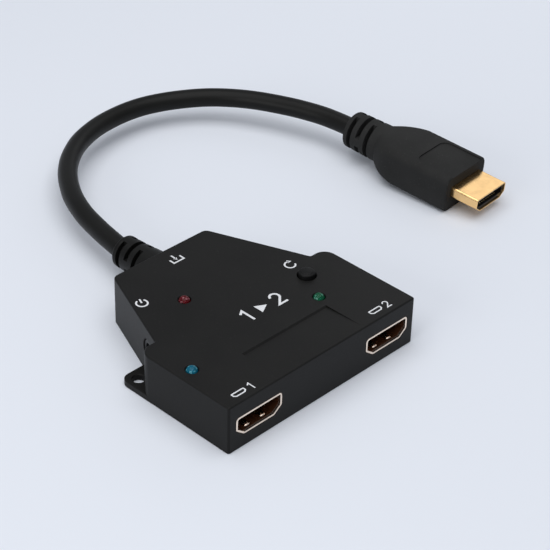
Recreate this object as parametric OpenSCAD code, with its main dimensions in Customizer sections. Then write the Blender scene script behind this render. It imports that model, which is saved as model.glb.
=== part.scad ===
// Two-way video splitter with a captive input lead, in millimetres, +Z up.
// The origin is the middle of the housing's underside. The port face looks along -Y
// and the lead leaves the cable face along +Y.

/* [Housing] */
// Width across the port face
housing_w = 64.4; // [63:0.2:70]
// Depth from the port face to the cable face
housing_d = 58.4; // [55:0.2:64]
// Height from the underside to the top
housing_h = 13.5; // [13.2:0.1:16]
// Depth of the full-width block behind the port face
block_d = 30.8; // [29.6:0.2:33]
// Step at each side where the tapered part leaves the block
shoulder_step = 5.3; // [4.6:0.1:6.4]
// Width of the cable face
neck_w = 31.8; // [29:0.2:36]
// Thickness of the upright walls
wall = 1.6; // [1.3:0.1:1.8]
// Thickness of the top
roof = 1.6; // [1.2:0.1:1.8]
// Flat broken along the top edges
rim = 0.4; // [0.2:0.1:0.6]
// Radius of the upright edges at the port face
front_r = 0.6; // [0.5:0.1:1.6]
// Radius of the upright edges at the back of the block
shoulder_r = 3.5; // [2.4:0.1:4]
// Radius of the upright edges at the cable face
neck_r = 2; // [1:0.1:3]

/* [Label recess] */
// Width of the shallow recess in the top
recess_w = 29; // [20:0.5:34]
// Length of the recess from front to back
recess_l = 11.6; // [8:0.2:13]
// Depth of the recess at its back edge, running out to nothing at its front
recess_depth = 0.4; // [0.2:0.1:0.8]
// Distance of the recess from the port face
recess_in = 1.4; // [1:0.1:3]
// Sideways place of the middle of the recess
recess_x = -0.8; // [-3:0.1:3]

/* [Mounting ears] */
// Thickness of each ear
ear_t = 1.7; // [1.4:0.1:3]
// Length of each ear behind the block
ear_l = 6.9; // [6:0.1:8]
// Radius of the ear's outer corner
ear_r = 2.5; // [1:0.1:3]
// Diameter of the ear's screw hole
ear_hole_d = 3.2; // [2.6:0.1:3.4]
// Distance of the hole from the ear's outer edge
ear_hole_in = 3; // [2.4:0.1:3.4]

/* [Bottom cover] */
// Thickness of the cover plate
floor_t = 1.2; // [1:0.1:1.5]
// Width of the wall's lip that hides the cover's edge
lip = 0.8; // [0.6:0.1:0.9]
// Clearance between the cover and the lip
cover_gap = 0.15; // [0.1:0.05:0.25]

/* [Screws and posts] */
// Outer diameter of a screw post
post_d = 4.6; // [4.2:0.1:5]
// Diameter of a screw's shank
screw_d = 2; // [1.6:0.1:2.2]
// Length of a screw under its head
screw_l = 6; // [5:0.5:7]
// Diameter of a screw's head
screw_head_d = 3.6; // [3.2:0.1:3.8]
// Height of a screw's head
screw_head_h = 0.8; // [0.6:0.1:0.9]
// Depth of a screw's head below the underside
screw_sink = 0.2; // [0.1:0.1:0.3]
// Clearance around a screw in its post
screw_gap = 0.05; // [0.03:0.01:0.1]
// Clearance around a screw and its head in the cover and the board
screw_pass = 0.2; // [0.1:0.05:0.3]
// Clearance between a front screw's post and the socket beside it
screw_port_gap = 2; // [0.6:0.1:4]
// Distance of the front screws from the port face
screw_front_in = 6.4; // [5.5:0.1:8]
// Distance of the rear screws from the middle
screw_rear_x = 12.4; // [11:0.1:13]
// Distance of the rear screws from the cable face
screw_rear_in = 9; // [8.6:0.1:10]

/* [Circuit board] */
// Thickness of the board
board_t = 1.2; // [0.8:0.1:1.4]
// Free height under the board
board_gap = 1.3; // [1.2:0.1:1.5]
// Clearance between the board and the walls
board_clear = 0.4; // [0.2:0.1:0.5]
// Distance of the board's back edge from the cable face
board_back_in = 6.2; // [5.8:0.1:6.5]

/* [Output sockets] */
// Distance of each socket's middle from the housing's side
port_inset = 10; // [9.6:0.1:11]
// Width of a socket's mouth
socket_w = 14; // [13.8:0.1:14.2]
// Height of a socket's mouth
socket_h = 4.6; // [4.5:0.05:4.8]
// Width of the mouth's narrow lower edge
socket_waist = 9.6; // [9:0.1:10.4]
// Height of the mouth's upright sides
socket_side = 2.9; // [2.4:0.1:3.2]
// Thickness of the sheet metal
sheet = 0.35; // [0.25:0.05:0.4]
// Corner radius inside a socket's mouth
socket_r = 0.5; // [0.2:0.1:0.8]
// Depth of a socket
socket_l = 11.6; // [11:0.2:13]
// Clearance between a socket and the housing's opening
port_gap = 0.2; // [0.1:0.05:0.3]
// Width of a socket's tongue
tongue_w = 11.2; // [10.8:0.1:11.6]
// Thickness of a socket's tongue
tongue_t = 1.4; // [1.2:0.1:1.6]
// Distance of the tongue's tip from the mouth
tongue_in = 2.6; // [2.2:0.1:3.2]
// Length of the moulded block at a socket's back
socket_block_l = 3.2; // [2.6:0.1:4]
// Clearance between the moulded block and the shell
block_gap = 0.05; // [0.03:0.01:0.1]
// Width of one socket contact
contact_w = 0.45; // [0.35:0.05:0.6]
// Thickness of one socket contact
contact_t = 0.12; // [0.1:0.02:0.2]
// Distance between neighbouring contacts in a row
contact_pitch = 1; // [0.9:0.05:1.05]
// Distance of the contacts' tips from the tip of what carries them
contact_in = 0.9; // [0.6:0.1:1.2]
// Width of a spring finger
finger_w = 1.8; // [1:0.1:2.2]
// Height of a spring finger's crest inside the shell
finger_h = 0.45; // [0.3:0.05:0.6]
// Distance between the two fingers of a side
finger_pitch = 5.2; // [4.4:0.1:5.4]
// Distance of the fingers' crests from the mouth
finger_in = 3.6; // [3.2:0.1:4]
// Length of a finger's sprung part behind its crest
finger_l = 4; // [3:0.1:4.4]
// Length of a finger's lifted tip in front of its crest
finger_tip_l = 0.9; // [0.7:0.1:1]
// Clearance around a finger in the shell
finger_gap = 0.3; // [0.2:0.05:0.35]
// Length of a soldered leg along the socket
leg_l = 1.6; // [1:0.1:2]
// Distance of the legs from the mouth and from the back
leg_in = 2.6; // [2.4:0.1:3]
// Length of a leg under the board
leg_under = 0.3; // [0.1:0.1:0.35]
// Clearance around a leg in the board
leg_gap = 0.15; // [0.1:0.05:0.25]

/* [Indicator lamps] */
// Diameter of a lamp
lamp_d = 3; // [2.6:0.1:3.2]
// Length of a lamp from its flange to the top of its dome
lamp_l = 5.3; // [4.8:0.1:5.6]
// Diameter of a lamp's flange
lamp_flange_d = 3.8; // [3.6:0.1:4]
// Thickness of a lamp's flange
lamp_flange_t = 1; // [0.6:0.1:1.2]
// Height of a lamp's dome above the top
lamp_proud = 0.9; // [0.6:0.1:1.5]
// Clearance around a lamp in the top
lamp_gap = 0.15; // [0.1:0.05:0.3]
// Thickness of a lamp's leads
lead_t = 0.5; // [0.4:0.05:0.6]
// Distance between a lamp's leads
lead_pitch = 2.54; // [2.4:0.02:2.6]
// Distance of the two output lamps from the port face
out_lamp_in = 16.7; // [16:0.1:18]
// Distance of the first output lamp from the housing's side
out1_lamp_side = 4.2; // [4:0.1:5]
// Distance of the second output lamp from its socket's middle
out2_lamp_side = 7; // [6:0.1:7.4]
// Distance of the power lamp from the middle
power_lamp_x = 9.8; // [9:0.1:11]
// Distance of the power lamp behind the power coil
power_lamp_back = 3.1; // [2.2:0.1:4]

/* [Reset button] */
// Diameter of the button
button_d = 4.4; // [4:0.1:4.8]
// Height of the button above the top
button_proud = 1.5; // [1.2:0.1:2]
// Height of the button's domed end
button_dome = 0.4; // [0.2:0.1:0.6]
// Clearance around the button in the top
button_gap = 0.25; // [0.2:0.05:0.3]
// How far the button goes in
button_travel = 0.3; // [0.2:0.05:0.4]
// Diameter of the flange that keeps the button in
button_flange_d = 6.2; // [5.8:0.1:6.6]
// Thickness of that flange
button_flange_t = 0.9; // [0.7:0.1:1.1]
// Clearance between the flange and the top when the button is out
button_rest_gap = 0.2; // [0.1:0.05:0.3]
// How deep the plunger sits in the button
button_grip = 1.8; // [1.4:0.1:2]
// Distance of the button from the housing's side
button_side = 12.4; // [11:0.1:13]
// Distance of the button from the back of the block
button_in = 5.5; // [5.2:0.1:6.5]
// Side of the switch under the button
switch_w = 6; // [5.8:0.1:6.2]
// Height of that switch
switch_h = 3.5; // [3.2:0.1:3.8]
// Diameter of the switch's plunger
plunger_d = 2.6; // [2.4:0.1:2.8]
// Height of the plunger above the switch
plunger_out = 3; // [2.6:0.1:3.2]
// Clearance around the plunger in the switch
plunger_gap = 0.3; // [0.2:0.05:0.35]
// Thickness of the switch's base under the snap dome
switch_base = 0.9; // [0.7:0.1:1.2]
// Thickness of the snap dome's sheet
dome_t = 0.15; // [0.1:0.01:0.2]
// Height of the snap dome
dome_h = 0.6; // [0.4:0.05:0.7]

/* [Power inlet] */
// Distance of the inlet from the inner corner, along the slanted wall
inlet_in = 4.9; // [4.6:0.1:6]
// Height of the inlet's middle above the board
inlet_rise = 3.6; // [3.5:0.1:4]
// Diameter of the hole in the wall
inlet_hole_d = 6; // [5.8:0.1:6.6]
// Clearance around the inlet's nose in that hole
inlet_gap = 0.2; // [0.1:0.05:0.3]
// Diameter of the inlet's bore
inlet_bore_d = 3.9; // [3.6:0.1:4.1]
// Depth of the inlet's bore
inlet_bore_l = 9; // [8:0.2:9.4]
// Diameter of the pin in the bore
inlet_pin_d = 1.3; // [1.1:0.1:1.5]
// Distance of the pin's tip from the outside
inlet_pin_in = 1.2; // [0.8:0.1:2]
// Width of the inlet's moulding
inlet_w = 6.4; // [6.2:0.1:6.8]
// Height of the moulding above the inlet's middle
inlet_top = 3.2; // [3.1:0.1:3.6]
// Length of the inlet's moulding behind the wall
inlet_l = 9; // [8.6:0.2:9.6]
// Recess of the inlet's nose in the wall
inlet_sink = 0.3; // [0.1:0.1:0.6]
// Thickness of the inlet's spring
inlet_spring_t = 0.25; // [0.2:0.05:0.35]
// Width of the inlet's spring
inlet_spring_w = 1.8; // [1.4:0.1:2]

/* [Parts on the board] */
// Least clearance between neighbouring parts
part_gap = 0.8; // [0.5:0.1:1]
// Side of the splitter chip
chip_w = 12; // [10:0.5:12.4]
// Height of the splitter chip
chip_h = 1.4; // [1:0.1:1.8]
// Distance of the chip's middle from the port face
chip_in = 21.8; // [21:0.2:23]
// Leads on each side of the chip
chip_leads = 16; // [12:1:18]
// Reach of a chip lead beyond the chip
chip_lead_out = 1; // [0.8:0.1:1.1]
// Width of a chip lead
chip_lead_w = 0.3; // [0.2:0.05:0.35]
// Thickness of a chip lead
chip_lead_t = 0.2; // [0.15:0.05:0.25]
// Height at which the leads leave the chip
chip_lead_rise = 0.6; // [0.5:0.05:0.7]
// Length of the crystal's can
crystal_l = 11; // [10:0.2:11.4]
// Width of the crystal's can
crystal_w = 4.6; // [4.2:0.1:4.8]
// Height of the crystal's can
crystal_h = 3.5; // [2.5:0.1:4]
// Thickness of the crystal's foot flange
crystal_foot = 0.5; // [0.4:0.1:0.7]
// Side of the power coil
coil_w = 6; // [5:0.1:6.4]
// Height of the power coil
coil_h = 3; // [2.4:0.1:4]
// Diameter of the coil's drum
coil_drum_d = 5; // [4.4:0.1:5]
// Distance of the coil from the middle
coil_x = 6.8; // [6.6:0.1:7.4]
// Diameter of a smoothing capacitor
capacitor_d = 5; // [4:0.1:5.4]
// Height of a smoothing capacitor
capacitor_h = 5.6; // [4.6:0.1:6.4]
// Thickness of a capacitor's square foot
capacitor_foot = 0.8; // [0.6:0.1:1]
// Distance between the two capacitors
capacitor_pitch = 6.5; // [6:0.1:7]
// Distance of the nearer capacitor from the middle
capacitor_x = 1.5; // [1:0.1:2]
// Length of the regulator's moulding
regulator_l = 6.5; // [6:0.1:6.8]
// Width of the regulator's moulding
regulator_w = 3.5; // [3.2:0.1:3.7]
// Height of the regulator's moulding
regulator_h = 1.6; // [1.4:0.1:1.8]
// Distance of the regulator from the middle
regulator_x = 14; // [13.4:0.1:14.6]
// Distance of the regulator from the port face
regulator_in = 20; // [19:0.2:21]
// Length of the memory chip
memory_l = 5; // [4.6:0.1:5.2]
// Width of the memory chip
memory_w = 4; // [3.6:0.1:4.2]
// Height of the memory chip
memory_h = 1.5; // [1.2:0.1:1.7]

/* [Lead and strain relief] */
// Diameter of the lead
cable_d = 5.6; // [5:0.1:5.8]
// Height of the lead's middle at the cable face
relief_z = 7.3; // [7:0.1:7.3]
// Length of the strain relief outside the housing
relief_l = 13.9; // [13:0.1:16]
// Diameter of the strain relief at the lead
relief_tip_d = 9; // [8.4:0.1:9.4]
// Diameter of the strain relief at the housing
relief_root_d = 10.5; // [9.6:0.1:10.8]
// Diameter of the strain relief in the wall
relief_waist_d = 7.8; // [7.4:0.1:8.2]
// Clearance around the strain relief in the wall
relief_gap = 0.1; // [0.05:0.05:0.2]
// Diameter of the flange behind the wall
relief_flange_d = 9; // [8.6:0.1:9.2]
// Thickness of the flange behind the wall
relief_flange_t = 1.6; // [1.2:0.1:1.8]
// Thickness of the rib that holds the flange against the wall
cradle_t = 1.2; // [0.8:0.1:1.4]
// Margin of that rib around the wires
cradle_side = 2; // [1.4:0.1:3]
// Clearance between the flange and that rib
cradle_gap = 0.1; // [0.05:0.05:0.2]
// Width of a flex slot
slot_w = 1.4; // [0.8:0.1:1.6]
// Distance between neighbouring flex slots
slot_pitch = 3.1; // [2.8:0.1:3.4]
// Distance of the first flex slot from the lead's end of the relief
slot_in = 1.5; // [1:0.1:2]
// Width of the ribs that bridge a flex slot
slot_rib = 2.6; // [2:0.1:3.2]
// Thickness left around the lead under a flex slot
slot_core = 0.3; // [0.2:0.05:0.5]
// Diameter of a wire inside the housing
wire_d = 1; // [0.8:0.1:1.1]
// Distance between the wires where they leave the lead
wire_pitch = 1.3; // [1.2:0.1:1.4]
// Distance between the wires on the board
wire_spread = 2.4; // [2:0.1:2.8]
// Length of a wire on the board
wire_on_board = 2.4; // [2:0.1:3]

/* [Plug] */
// Sideways place of the plug's front face
plug_x = 93.5; // [80:0.1:110]
// Place of the plug's front face along the housing's depth
plug_y = 4.7; // [0:0.1:20]
// Turn of the plug about the upright
plug_turn = 4.4; // [0:0.1:8]
// Rise of the plug towards its lead
plug_rise = 3.9; // [3:0.1:6]
// Width of the grip
grip_w = 18.8; // [18:0.1:20.4]
// Thickness of the grip
grip_t = 11.2; // [10.6:0.1:11.8]
// Edge radius of the grip
grip_r = 2.2; // [1.2:0.1:2.6]
// Length of the grip's straight part
grip_l = 19.5; // [16:0.5:22]
// Length of the grip's shoulder
grip_shoulder_l = 8.8; // [6:0.2:9.6]
// How late the shoulder turns in towards the boot
shoulder_bow = 2.1; // [1.6:0.1:4]
// Depth of the panel sunk in the grip's top
panel_depth = 0.4; // [0.2:0.1:0.6]
// Length of that panel from the front face
panel_l = 13; // [11:0.5:16]
// Margin beside that panel
panel_side = 2.4; // [2.2:0.1:2.8]
// Diameter of the boot at the grip
boot_root_d = 11.6; // [11:0.1:12]
// Diameter of the boot at the lead
boot_tip_d = 11; // [10.4:0.1:11.4]
// Length of the boot
boot_l = 11.7; // [11:0.1:15]
// Width of the plug's shell
plug_w = 13.9; // [13.6:0.05:14]
// Height of the plug's shell
plug_h = 4.45; // [4.3:0.05:4.6]
// Width of the shell's narrow lower edge
plug_waist = 9.7; // [9:0.1:10.2]
// Height of the shell's upright sides
plug_side = 2.9; // [2.4:0.1:3.1]
// Length of the shell beyond the grip
plug_out = 9; // [8.8:0.1:11]
// Length of the shell inside the grip
plug_held = 5; // [4:0.1:7]
// Thickness of the plug's sheet metal
plug_sheet = 0.3; // [0.2:0.05:0.35]
// Outer corner radius of the plug's shell
plug_r = 0.7; // [0.5:0.1:0.9]
// Clearance between the shell and the moulding inside it
plug_gap = 0.05; // [0.03:0.01:0.1]
// Depth of the plug's slot
plug_slot_l = 7.4; // [7:0.1:8.2]
// Height of the plug's slot
plug_slot_h = 2; // [1.9:0.1:2.2]
// Width of the plug's slot
plug_slot_w = 11.8; // [11.4:0.1:12]
// Recess of the moulding in the plug's mouth
plug_recess = 0.5; // [0.3:0.1:0.8]

/* [Hidden] */
$fn = 64;
// Overrun of a cutting shape past the face that it cuts
over = 1;
// Straight steps that stand for the arc at each corner of a sheet metal mouth
arc_steps = 6;
// Rings of slots that let a boot bend
slot_rows = 3;
// Contacts in the upper and lower row of a socket or plug
upper_contacts = 10;
lower_contacts = 9;

front_y = -housing_d / 2;
back_y = housing_d / 2;
block_back = front_y + block_d;
ceiling = housing_h - roof;
board_bottom = floor_t + board_gap;
board_top = board_bottom + board_t;
board_back = back_y - board_back_in;
port_x = housing_w / 2 - port_inset;
port_z = board_top + sheet + socket_h / 2;
shoulder_w = housing_w - 2 * shoulder_step;
socket_back = front_y + socket_l;

// Half the width of the tapered part at a given depth
function taper_half(y) =
    shoulder_w / 2 + (neck_w - shoulder_w) / 2 * (y - block_back) / (back_y - block_back);

// Corner arithmetic on a convex outline whose points run anticlockwise
function unit(v) = v / norm(v);
function before(p, i) = unit(p[(i + len(p) - 1) % len(p)] - p[i]);
function after(p, i) = unit(p[(i + 1) % len(p)] - p[i]);
function half_angle(p, i) = acos(before(p, i) * after(p, i)) / 2;
function arc_centre(p, i, r) = p[i] + unit(before(p, i) + after(p, i)) * r / sin(half_angle(p, i));
function arc_start(p, i, r) = p[i] + before(p, i) * r / tan(half_angle(p, i));
function arc_end(p, i, r) = p[i] + after(p, i) * r / tan(half_angle(p, i));
function inset(p, d) = [for (i = [0 : len(p) - 1]) arc_centre(p, i, d)];
function less(r, d) = [for (x = r) max(x - d, 0)];
function same(r, count) = [for (i = [1 : count]) r];
function notched(p, r) = [
    for (i = [0 : len(p) - 1])
        each (r[i] > 0 ? [arc_start(p, i, r[i]), arc_centre(p, i, r[i]), arc_end(p, i, r[i])] : [p[i]])
];

// Points along the arc that rounds one corner, and a whole outline made of such arcs
function arc_points(p, i, r) =
    let (c = arc_centre(p, i, r), from = arc_start(p, i, r) - c, turn = 180 - 2 * half_angle(p, i))
        [
            for (k = [0 : arc_steps])
                let (a = atan2(from.y, from.x) + turn * k / arc_steps) c + r * [cos(a), sin(a)]
        ];
function arc_outline(p, r) = [
    for (i = [0 : len(p) - 1])
        each (r > 0 ? arc_points(p, i, r) : [p[i]])
];

module rounded(p, r) {
    polygon(notched(p, r));
    for (i = [0 : len(p) - 1])
        if (r[i] > 0)
            translate(arc_centre(p, i, r[i]))
                circle(r[i]);
}

// An upright block with rounded corners and a flat broken along its top edges
module rimmed_block(p, r, h) {
    linear_extrude(h - rim)
        rounded(p, r);
    translate([0, 0, h - rim])
        hull()
            for (i = [0 : len(p) - 1])
                translate(arc_centre(p, i, r[i]))
                    cylinder(h = rim, r1 = r[i], r2 = r[i] - rim, $fn = 32);
}

// Extrudes an outline in x and z along the depth
module along_y(y0, y1) {
    translate([0, y1, 0])
        rotate([90, 0, 0])
            linear_extrude(y1 - y0)
                children();
}

// A turned profile, given as radius and distance, about an axis along the depth
module turned_y(y0, points) {
    translate([0, y0, 0])
        rotate([-90, 0, 0])
            rotate_extrude()
                polygon(points);
}

module both_sides() {
    children();
    mirror([1, 0, 0])
        children();
}

block_outline = [
    [-housing_w / 2, front_y], [housing_w / 2, front_y],
    [housing_w / 2, block_back], [-housing_w / 2, block_back]
];
block_radii = [front_r, front_r, shoulder_r, shoulder_r];
// The tapered part starts inside the block, far enough to share its cavity
taper_front = block_back - shoulder_r - wall;
taper_outline = [
    [-taper_half(taper_front), taper_front], [taper_half(taper_front), taper_front],
    [neck_w / 2, back_y], [-neck_w / 2, back_y]
];
taper_radii = [neck_r, neck_r, neck_r, neck_r];

// The outline of both parts of the housing, moved in by d
module inner_outline(d, h) {
    linear_extrude(h)
        rounded(inset(block_outline, d), less(block_radii, d));
    linear_extrude(h)
        rounded(inset(taper_outline, d), less(taper_radii, d));
}

// Mounting ears
ear_back = block_back + ear_l;
ear_hole_y = block_back + ear_l / 2;
ear_hole_x = housing_w / 2 - ear_hole_in;
ear_outline = [
    [taper_half(ear_back) - wall, block_back - shoulder_r], [housing_w / 2, block_back - shoulder_r],
    [housing_w / 2, ear_back], [taper_half(ear_back) - wall, ear_back]
];

module ear() {
    linear_extrude(ear_t)
        rounded(ear_outline, [0, 0, ear_r, 0]);
}

// Places of the screws
screw_front_x = port_x - socket_w / 2 - sheet - screw_port_gap - post_d / 2;
screw_places = [
    [-screw_front_x, front_y + screw_front_in], [screw_front_x, front_y + screw_front_in],
    [-screw_rear_x, back_y - screw_rear_in], [screw_rear_x, back_y - screw_rear_in]
];
screw_seat = screw_sink + screw_head_h;
post_bore_top = screw_seat + screw_l + screw_sink;

// Places of the parts behind one another on the board
chip_y = front_y + chip_in;
chip_reach = chip_w / 2 + chip_lead_out + part_gap;
crystal_y = chip_y - chip_reach - crystal_w / 2;
coil_y = chip_y + chip_reach + coil_w / 2;
memory_y = coil_y + capacitor_d / 2 + part_gap + memory_w / 2;

// Places of the lamps and the button on the top
power_lamp_place = [-power_lamp_x, coil_y + coil_w / 2 + power_lamp_back];
out1_lamp_place = [out1_lamp_side - housing_w / 2, front_y + out_lamp_in];
out2_lamp_place = [port_x - out2_lamp_side, front_y + out_lamp_in];
lamp_places = [power_lamp_place, out1_lamp_place, out2_lamp_place];
button_place = [housing_w / 2 - button_side, block_back - button_in];

// The power inlet sits square to the left slanted wall, near the inner corner
inner_corner = [-taper_half(block_back), block_back];
slant = unit([-neck_w / 2, back_y] - inner_corner);
inlet_place = inner_corner + slant * inlet_in;
inlet_angle = atan2(slant.x, -slant.y);
inlet_z = board_top + inlet_rise;

module at_inlet() {
    translate([inlet_place.x, inlet_place.y, inlet_z])
        rotate([0, 0, inlet_angle])
            children();
}

// A round bar along the inlet's axis, from depth a to depth b inside the wall's face
module inlet_bar(d, a, b) {
    translate([-b, 0, 0])
        rotate([0, 90, 0])
            cylinder(h = b - a, d = d);
}

// Outline of a socket's or plug's shell: wide above, narrow below
function shell_outline(w, h, waist, side) = [
    [-waist / 2, -h / 2], [waist / 2, -h / 2], [w / 2, h / 2 - side],
    [w / 2, h / 2], [-w / 2, h / 2], [-w / 2, h / 2 - side]
];
socket_mouth = shell_outline(socket_w, socket_h, socket_waist, socket_side);
// The mouth's outline, moved out by d
function mouth(d) = arc_outline(inset(socket_mouth, -d), socket_r + d);

module top_housing() {
    color("#242526")
        difference() {
            union() {
                difference() {
                    union() {
                        rimmed_block(block_outline, block_radii, housing_h);
                        rimmed_block(taper_outline, taper_radii, housing_h);
                        both_sides()
                            ear();
                    }
                    translate([0, 0, floor_t])
                        inner_outline(wall, ceiling - floor_t);
                    translate([0, 0, -over])
                        inner_outline(lip, floor_t + over);
                }
                for (p = screw_places)
                    translate([p.x, p.y, board_top])
                        cylinder(h = ceiling - board_top + roof / 2, d = post_d);
                relief_cradle();
            }
            for (p = screw_places)
                translate([p.x, p.y, board_top - over])
                    cylinder(h = post_bore_top - board_top + over, d = screw_d + 2 * screw_gap);
            both_sides()
                translate([ear_hole_x, ear_hole_y, -over])
                    cylinder(h = ear_t + 2 * over, d = ear_hole_d);
            both_sides()
                translate([port_x, 0, port_z])
                    along_y(front_y - over, front_y + wall + over)
                        polygon(mouth(sheet + port_gap));
            for (p = lamp_places)
                translate([p.x, p.y, ceiling - over])
                    cylinder(h = roof + 2 * over, d = lamp_d + 2 * lamp_gap);
            translate([button_place.x, button_place.y, ceiling - over])
                cylinder(h = roof + 2 * over, d = button_d + 2 * button_gap);
            at_inlet()
                inlet_bar(inlet_hole_d, -over, wall + over);
            translate([0, 0, relief_z])
                turned_y(back_y - wall - over, [
                    [0, 0], [relief_waist_d / 2 + relief_gap, 0],
                    [relief_waist_d / 2 + relief_gap, wall + 2 * over], [0, wall + 2 * over]
                ]);
            label_recess();
        }
}

// A rib under the top with a round notch, which keeps the strain relief's flange against the wall
module relief_cradle() {
    notch_r = relief_waist_d / 2;
    half_w = notch_r + cradle_side;
    y1 = back_y - wall - relief_flange_t - cradle_gap;
    along_y(y1 - cradle_t, y1)
        difference() {
            translate([-half_w, relief_z])
                square([2 * half_w, ceiling - relief_z + roof / 2]);
            translate([0, relief_z])
                circle(notch_r);
        }
}

// A shallow wedge sunk in the top, deepest at its back edge
module label_recess() {
    y0 = front_y + recess_in;
    y1 = y0 + recess_l;
    translate([recess_x - recess_w / 2, 0, housing_h])
        rotate([90, 0, 90])
            linear_extrude(recess_w)
                polygon([[y0, 0], [y1, -recess_depth], [y1, over], [y0, over]]);
}

module bottom_cover() {
    color("#1f2021")
        difference() {
            union() {
                inner_outline(lip + cover_gap, floor_t);
                for (p = screw_places)
                    translate([p.x, p.y, 0])
                        cylinder(h = board_bottom, d = post_d);
            }
            for (p = screw_places)
                translate([p.x, p.y, -over]) {
                    cylinder(h = screw_seat + over, d = screw_head_d + 2 * screw_pass);
                    cylinder(h = board_bottom + 2 * over, d = screw_d + 2 * screw_pass);
                }
        }
}

module cover_screws() {
    // Width and depth of the cross cut in a head
    cross_w = screw_d / 4;
    cross_depth = screw_head_h / 2;
    color("#8d9094")
        for (p = screw_places)
            translate([p.x, p.y, screw_sink])
                difference() {
                    union() {
                        cylinder(h = screw_head_h, d = screw_head_d);
                        cylinder(h = screw_head_h + screw_l, d = screw_d);
                    }
                    for (a = [0, 90])
                        rotate([0, 0, a])
                            translate([-screw_d / 2, -cross_w / 2, -over])
                                cube([screw_d, cross_w, cross_depth + over]);
                }
}

module main_board() {
    color("#1d5a3a")
        difference() {
            intersection() {
                translate([0, 0, board_bottom])
                    inner_outline(wall + board_clear, board_t);
                translate([-housing_w, front_y, 0])
                    cube([2 * housing_w, board_back - front_y, housing_h]);
            }
            for (p = screw_places)
                translate([p.x, p.y, board_bottom - over])
                    cylinder(h = board_t + 2 * over, d = screw_d + 2 * screw_pass);
            both_sides()
                translate([port_x, 0, 0])
                    socket_legs(leg_gap, board_bottom - over, board_top + over);
        }
}

// The four legs of a socket's shell, each grown by a gap, between two heights
module socket_legs(gap, z0, z1) {
    for (side = [-1, 1], y = [front_y + leg_in, socket_back - leg_in])
        translate([side * (socket_w + sheet) / 2 - sheet / 2 - gap, y - leg_l / 2 - gap, z0])
            cube([sheet + 2 * gap, leg_l + 2 * gap, z1 - z0]);
}

module socket_shell(x) {
    color("#c9a15c")
        translate([x, 0, 0]) {
            translate([0, 0, port_z]) {
                difference() {
                    along_y(front_y, socket_back)
                        polygon(mouth(sheet));
                    along_y(front_y - over, socket_back + over)
                        polygon(mouth(0));
                    finger_places()
                        finger_window();
                }
                finger_places()
                    spring_finger();
            }
            socket_legs(0, board_bottom - leg_under, port_z + socket_h / 2 - socket_side / 2);
        }
}

// Two places in the floor of a socket and two in its roof, each on the inner face at the mouth
module finger_places() {
    for (side = [-1, 1], end = [0, 1])
        mirror([0, 0, end])
            translate([side * finger_pitch / 2, front_y, -socket_h / 2])
                children();
}

finger_root = finger_in + finger_l;
finger_tip = finger_in - finger_tip_l;

module finger_window() {
    translate([-finger_w / 2 - finger_gap, finger_tip - finger_gap, -sheet - over])
        cube([finger_w + 2 * finger_gap, finger_root - finger_tip + finger_gap, sheet + 2 * over]);
}

// A leaf bent in from the sheet to a crest and out again at its tip
module spring_finger() {
    flat = finger_tip_l / 3;
    inner = [
        [finger_root + sheet, 0], [finger_root, 0], [finger_in + flat, finger_h],
        [finger_in - flat, finger_h], [finger_tip, finger_h / 2]
    ];
    outer = [for (k = [len(inner) - 1 : -1 : 0]) inner[k] - [0, sheet]];
    translate([-finger_w / 2, 0, 0])
        rotate([90, 0, 90])
            linear_extrude(finger_w)
                polygon(concat(inner, outer));
}

tongue_tip = front_y + tongue_in;
socket_block_front = socket_back - socket_block_l;

module socket_insulator(x) {
    color("#161617")
        translate([x, 0, port_z]) {
            along_y(socket_block_front, socket_back)
                polygon(mouth(-block_gap));
            translate([-tongue_w / 2, tongue_tip, -tongue_t / 2])
                cube([tongue_w, socket_block_front - tongue_tip, tongue_t]);
        }
}

// A row of flat contacts, centred across the connector
module contact_row(count, y, z, l) {
    for (k = [0 : count - 1])
        translate([(k - (count - 1) / 2) * contact_pitch - contact_w / 2, y, z])
            cube([contact_w, l, contact_t]);
}

// Two rows of contacts on the tongue, and their tails soldered behind the block
module socket_contacts(x) {
    y0 = tongue_tip + contact_in;
    run = socket_block_front - y0;
    color("#e3c27a")
        translate([x, 0, 0]) {
            contact_row(upper_contacts, y0, port_z + tongue_t / 2, run);
            contact_row(lower_contacts, y0, port_z - tongue_t / 2 - contact_t, run);
            contact_row(upper_contacts, socket_back, board_top, leg_l);
        }
}

module out1_shell() { socket_shell(-port_x); }
module out1_insulator() { socket_insulator(-port_x); }
module out1_contacts() { socket_contacts(-port_x); }
module out2_shell() { socket_shell(port_x); }
module out2_insulator() { socket_insulator(port_x); }
module out2_contacts() { socket_contacts(port_x); }

lamp_bottom = housing_h + lamp_proud - lamp_l;

module lamp(place, tint) {
    color(tint)
        translate([place.x, place.y, lamp_bottom]) {
            cylinder(h = lamp_flange_t, d = lamp_flange_d);
            cylinder(h = lamp_l - lamp_d / 2, d = lamp_d);
            translate([0, 0, lamp_l - lamp_d / 2])
                intersection() {
                    sphere(d = lamp_d);
                    cylinder(h = lamp_d, d = lamp_d + over);
                }
        }
}

module power_lamp() { lamp(power_lamp_place, "#b0162c"); }
module out1_lamp() { lamp(out1_lamp_place, "#1b86c4"); }
module out2_lamp() { lamp(out2_lamp_place, "#12844f"); }

module lamp_leads() {
    color("#b9bcc0")
        for (p = lamp_places, side = [-1, 1])
            translate([p.x + side * lead_pitch / 2 - lead_t / 2, p.y - lead_t / 2, board_top])
                cube([lead_t, lead_t, lamp_bottom - board_top]);
}

switch_top = board_top + switch_h;
plunger_top = switch_top + plunger_out;
button_top = housing_h + button_proud;
flange_top = ceiling - button_rest_gap;
// The plunger stops short of the snap dome by its travel and a little more
plunger_bottom = board_top + switch_base + dome_h + button_travel + plunger_gap / 2;

module at_button() {
    translate([button_place.x, button_place.y, 0])
        children();
}

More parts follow.
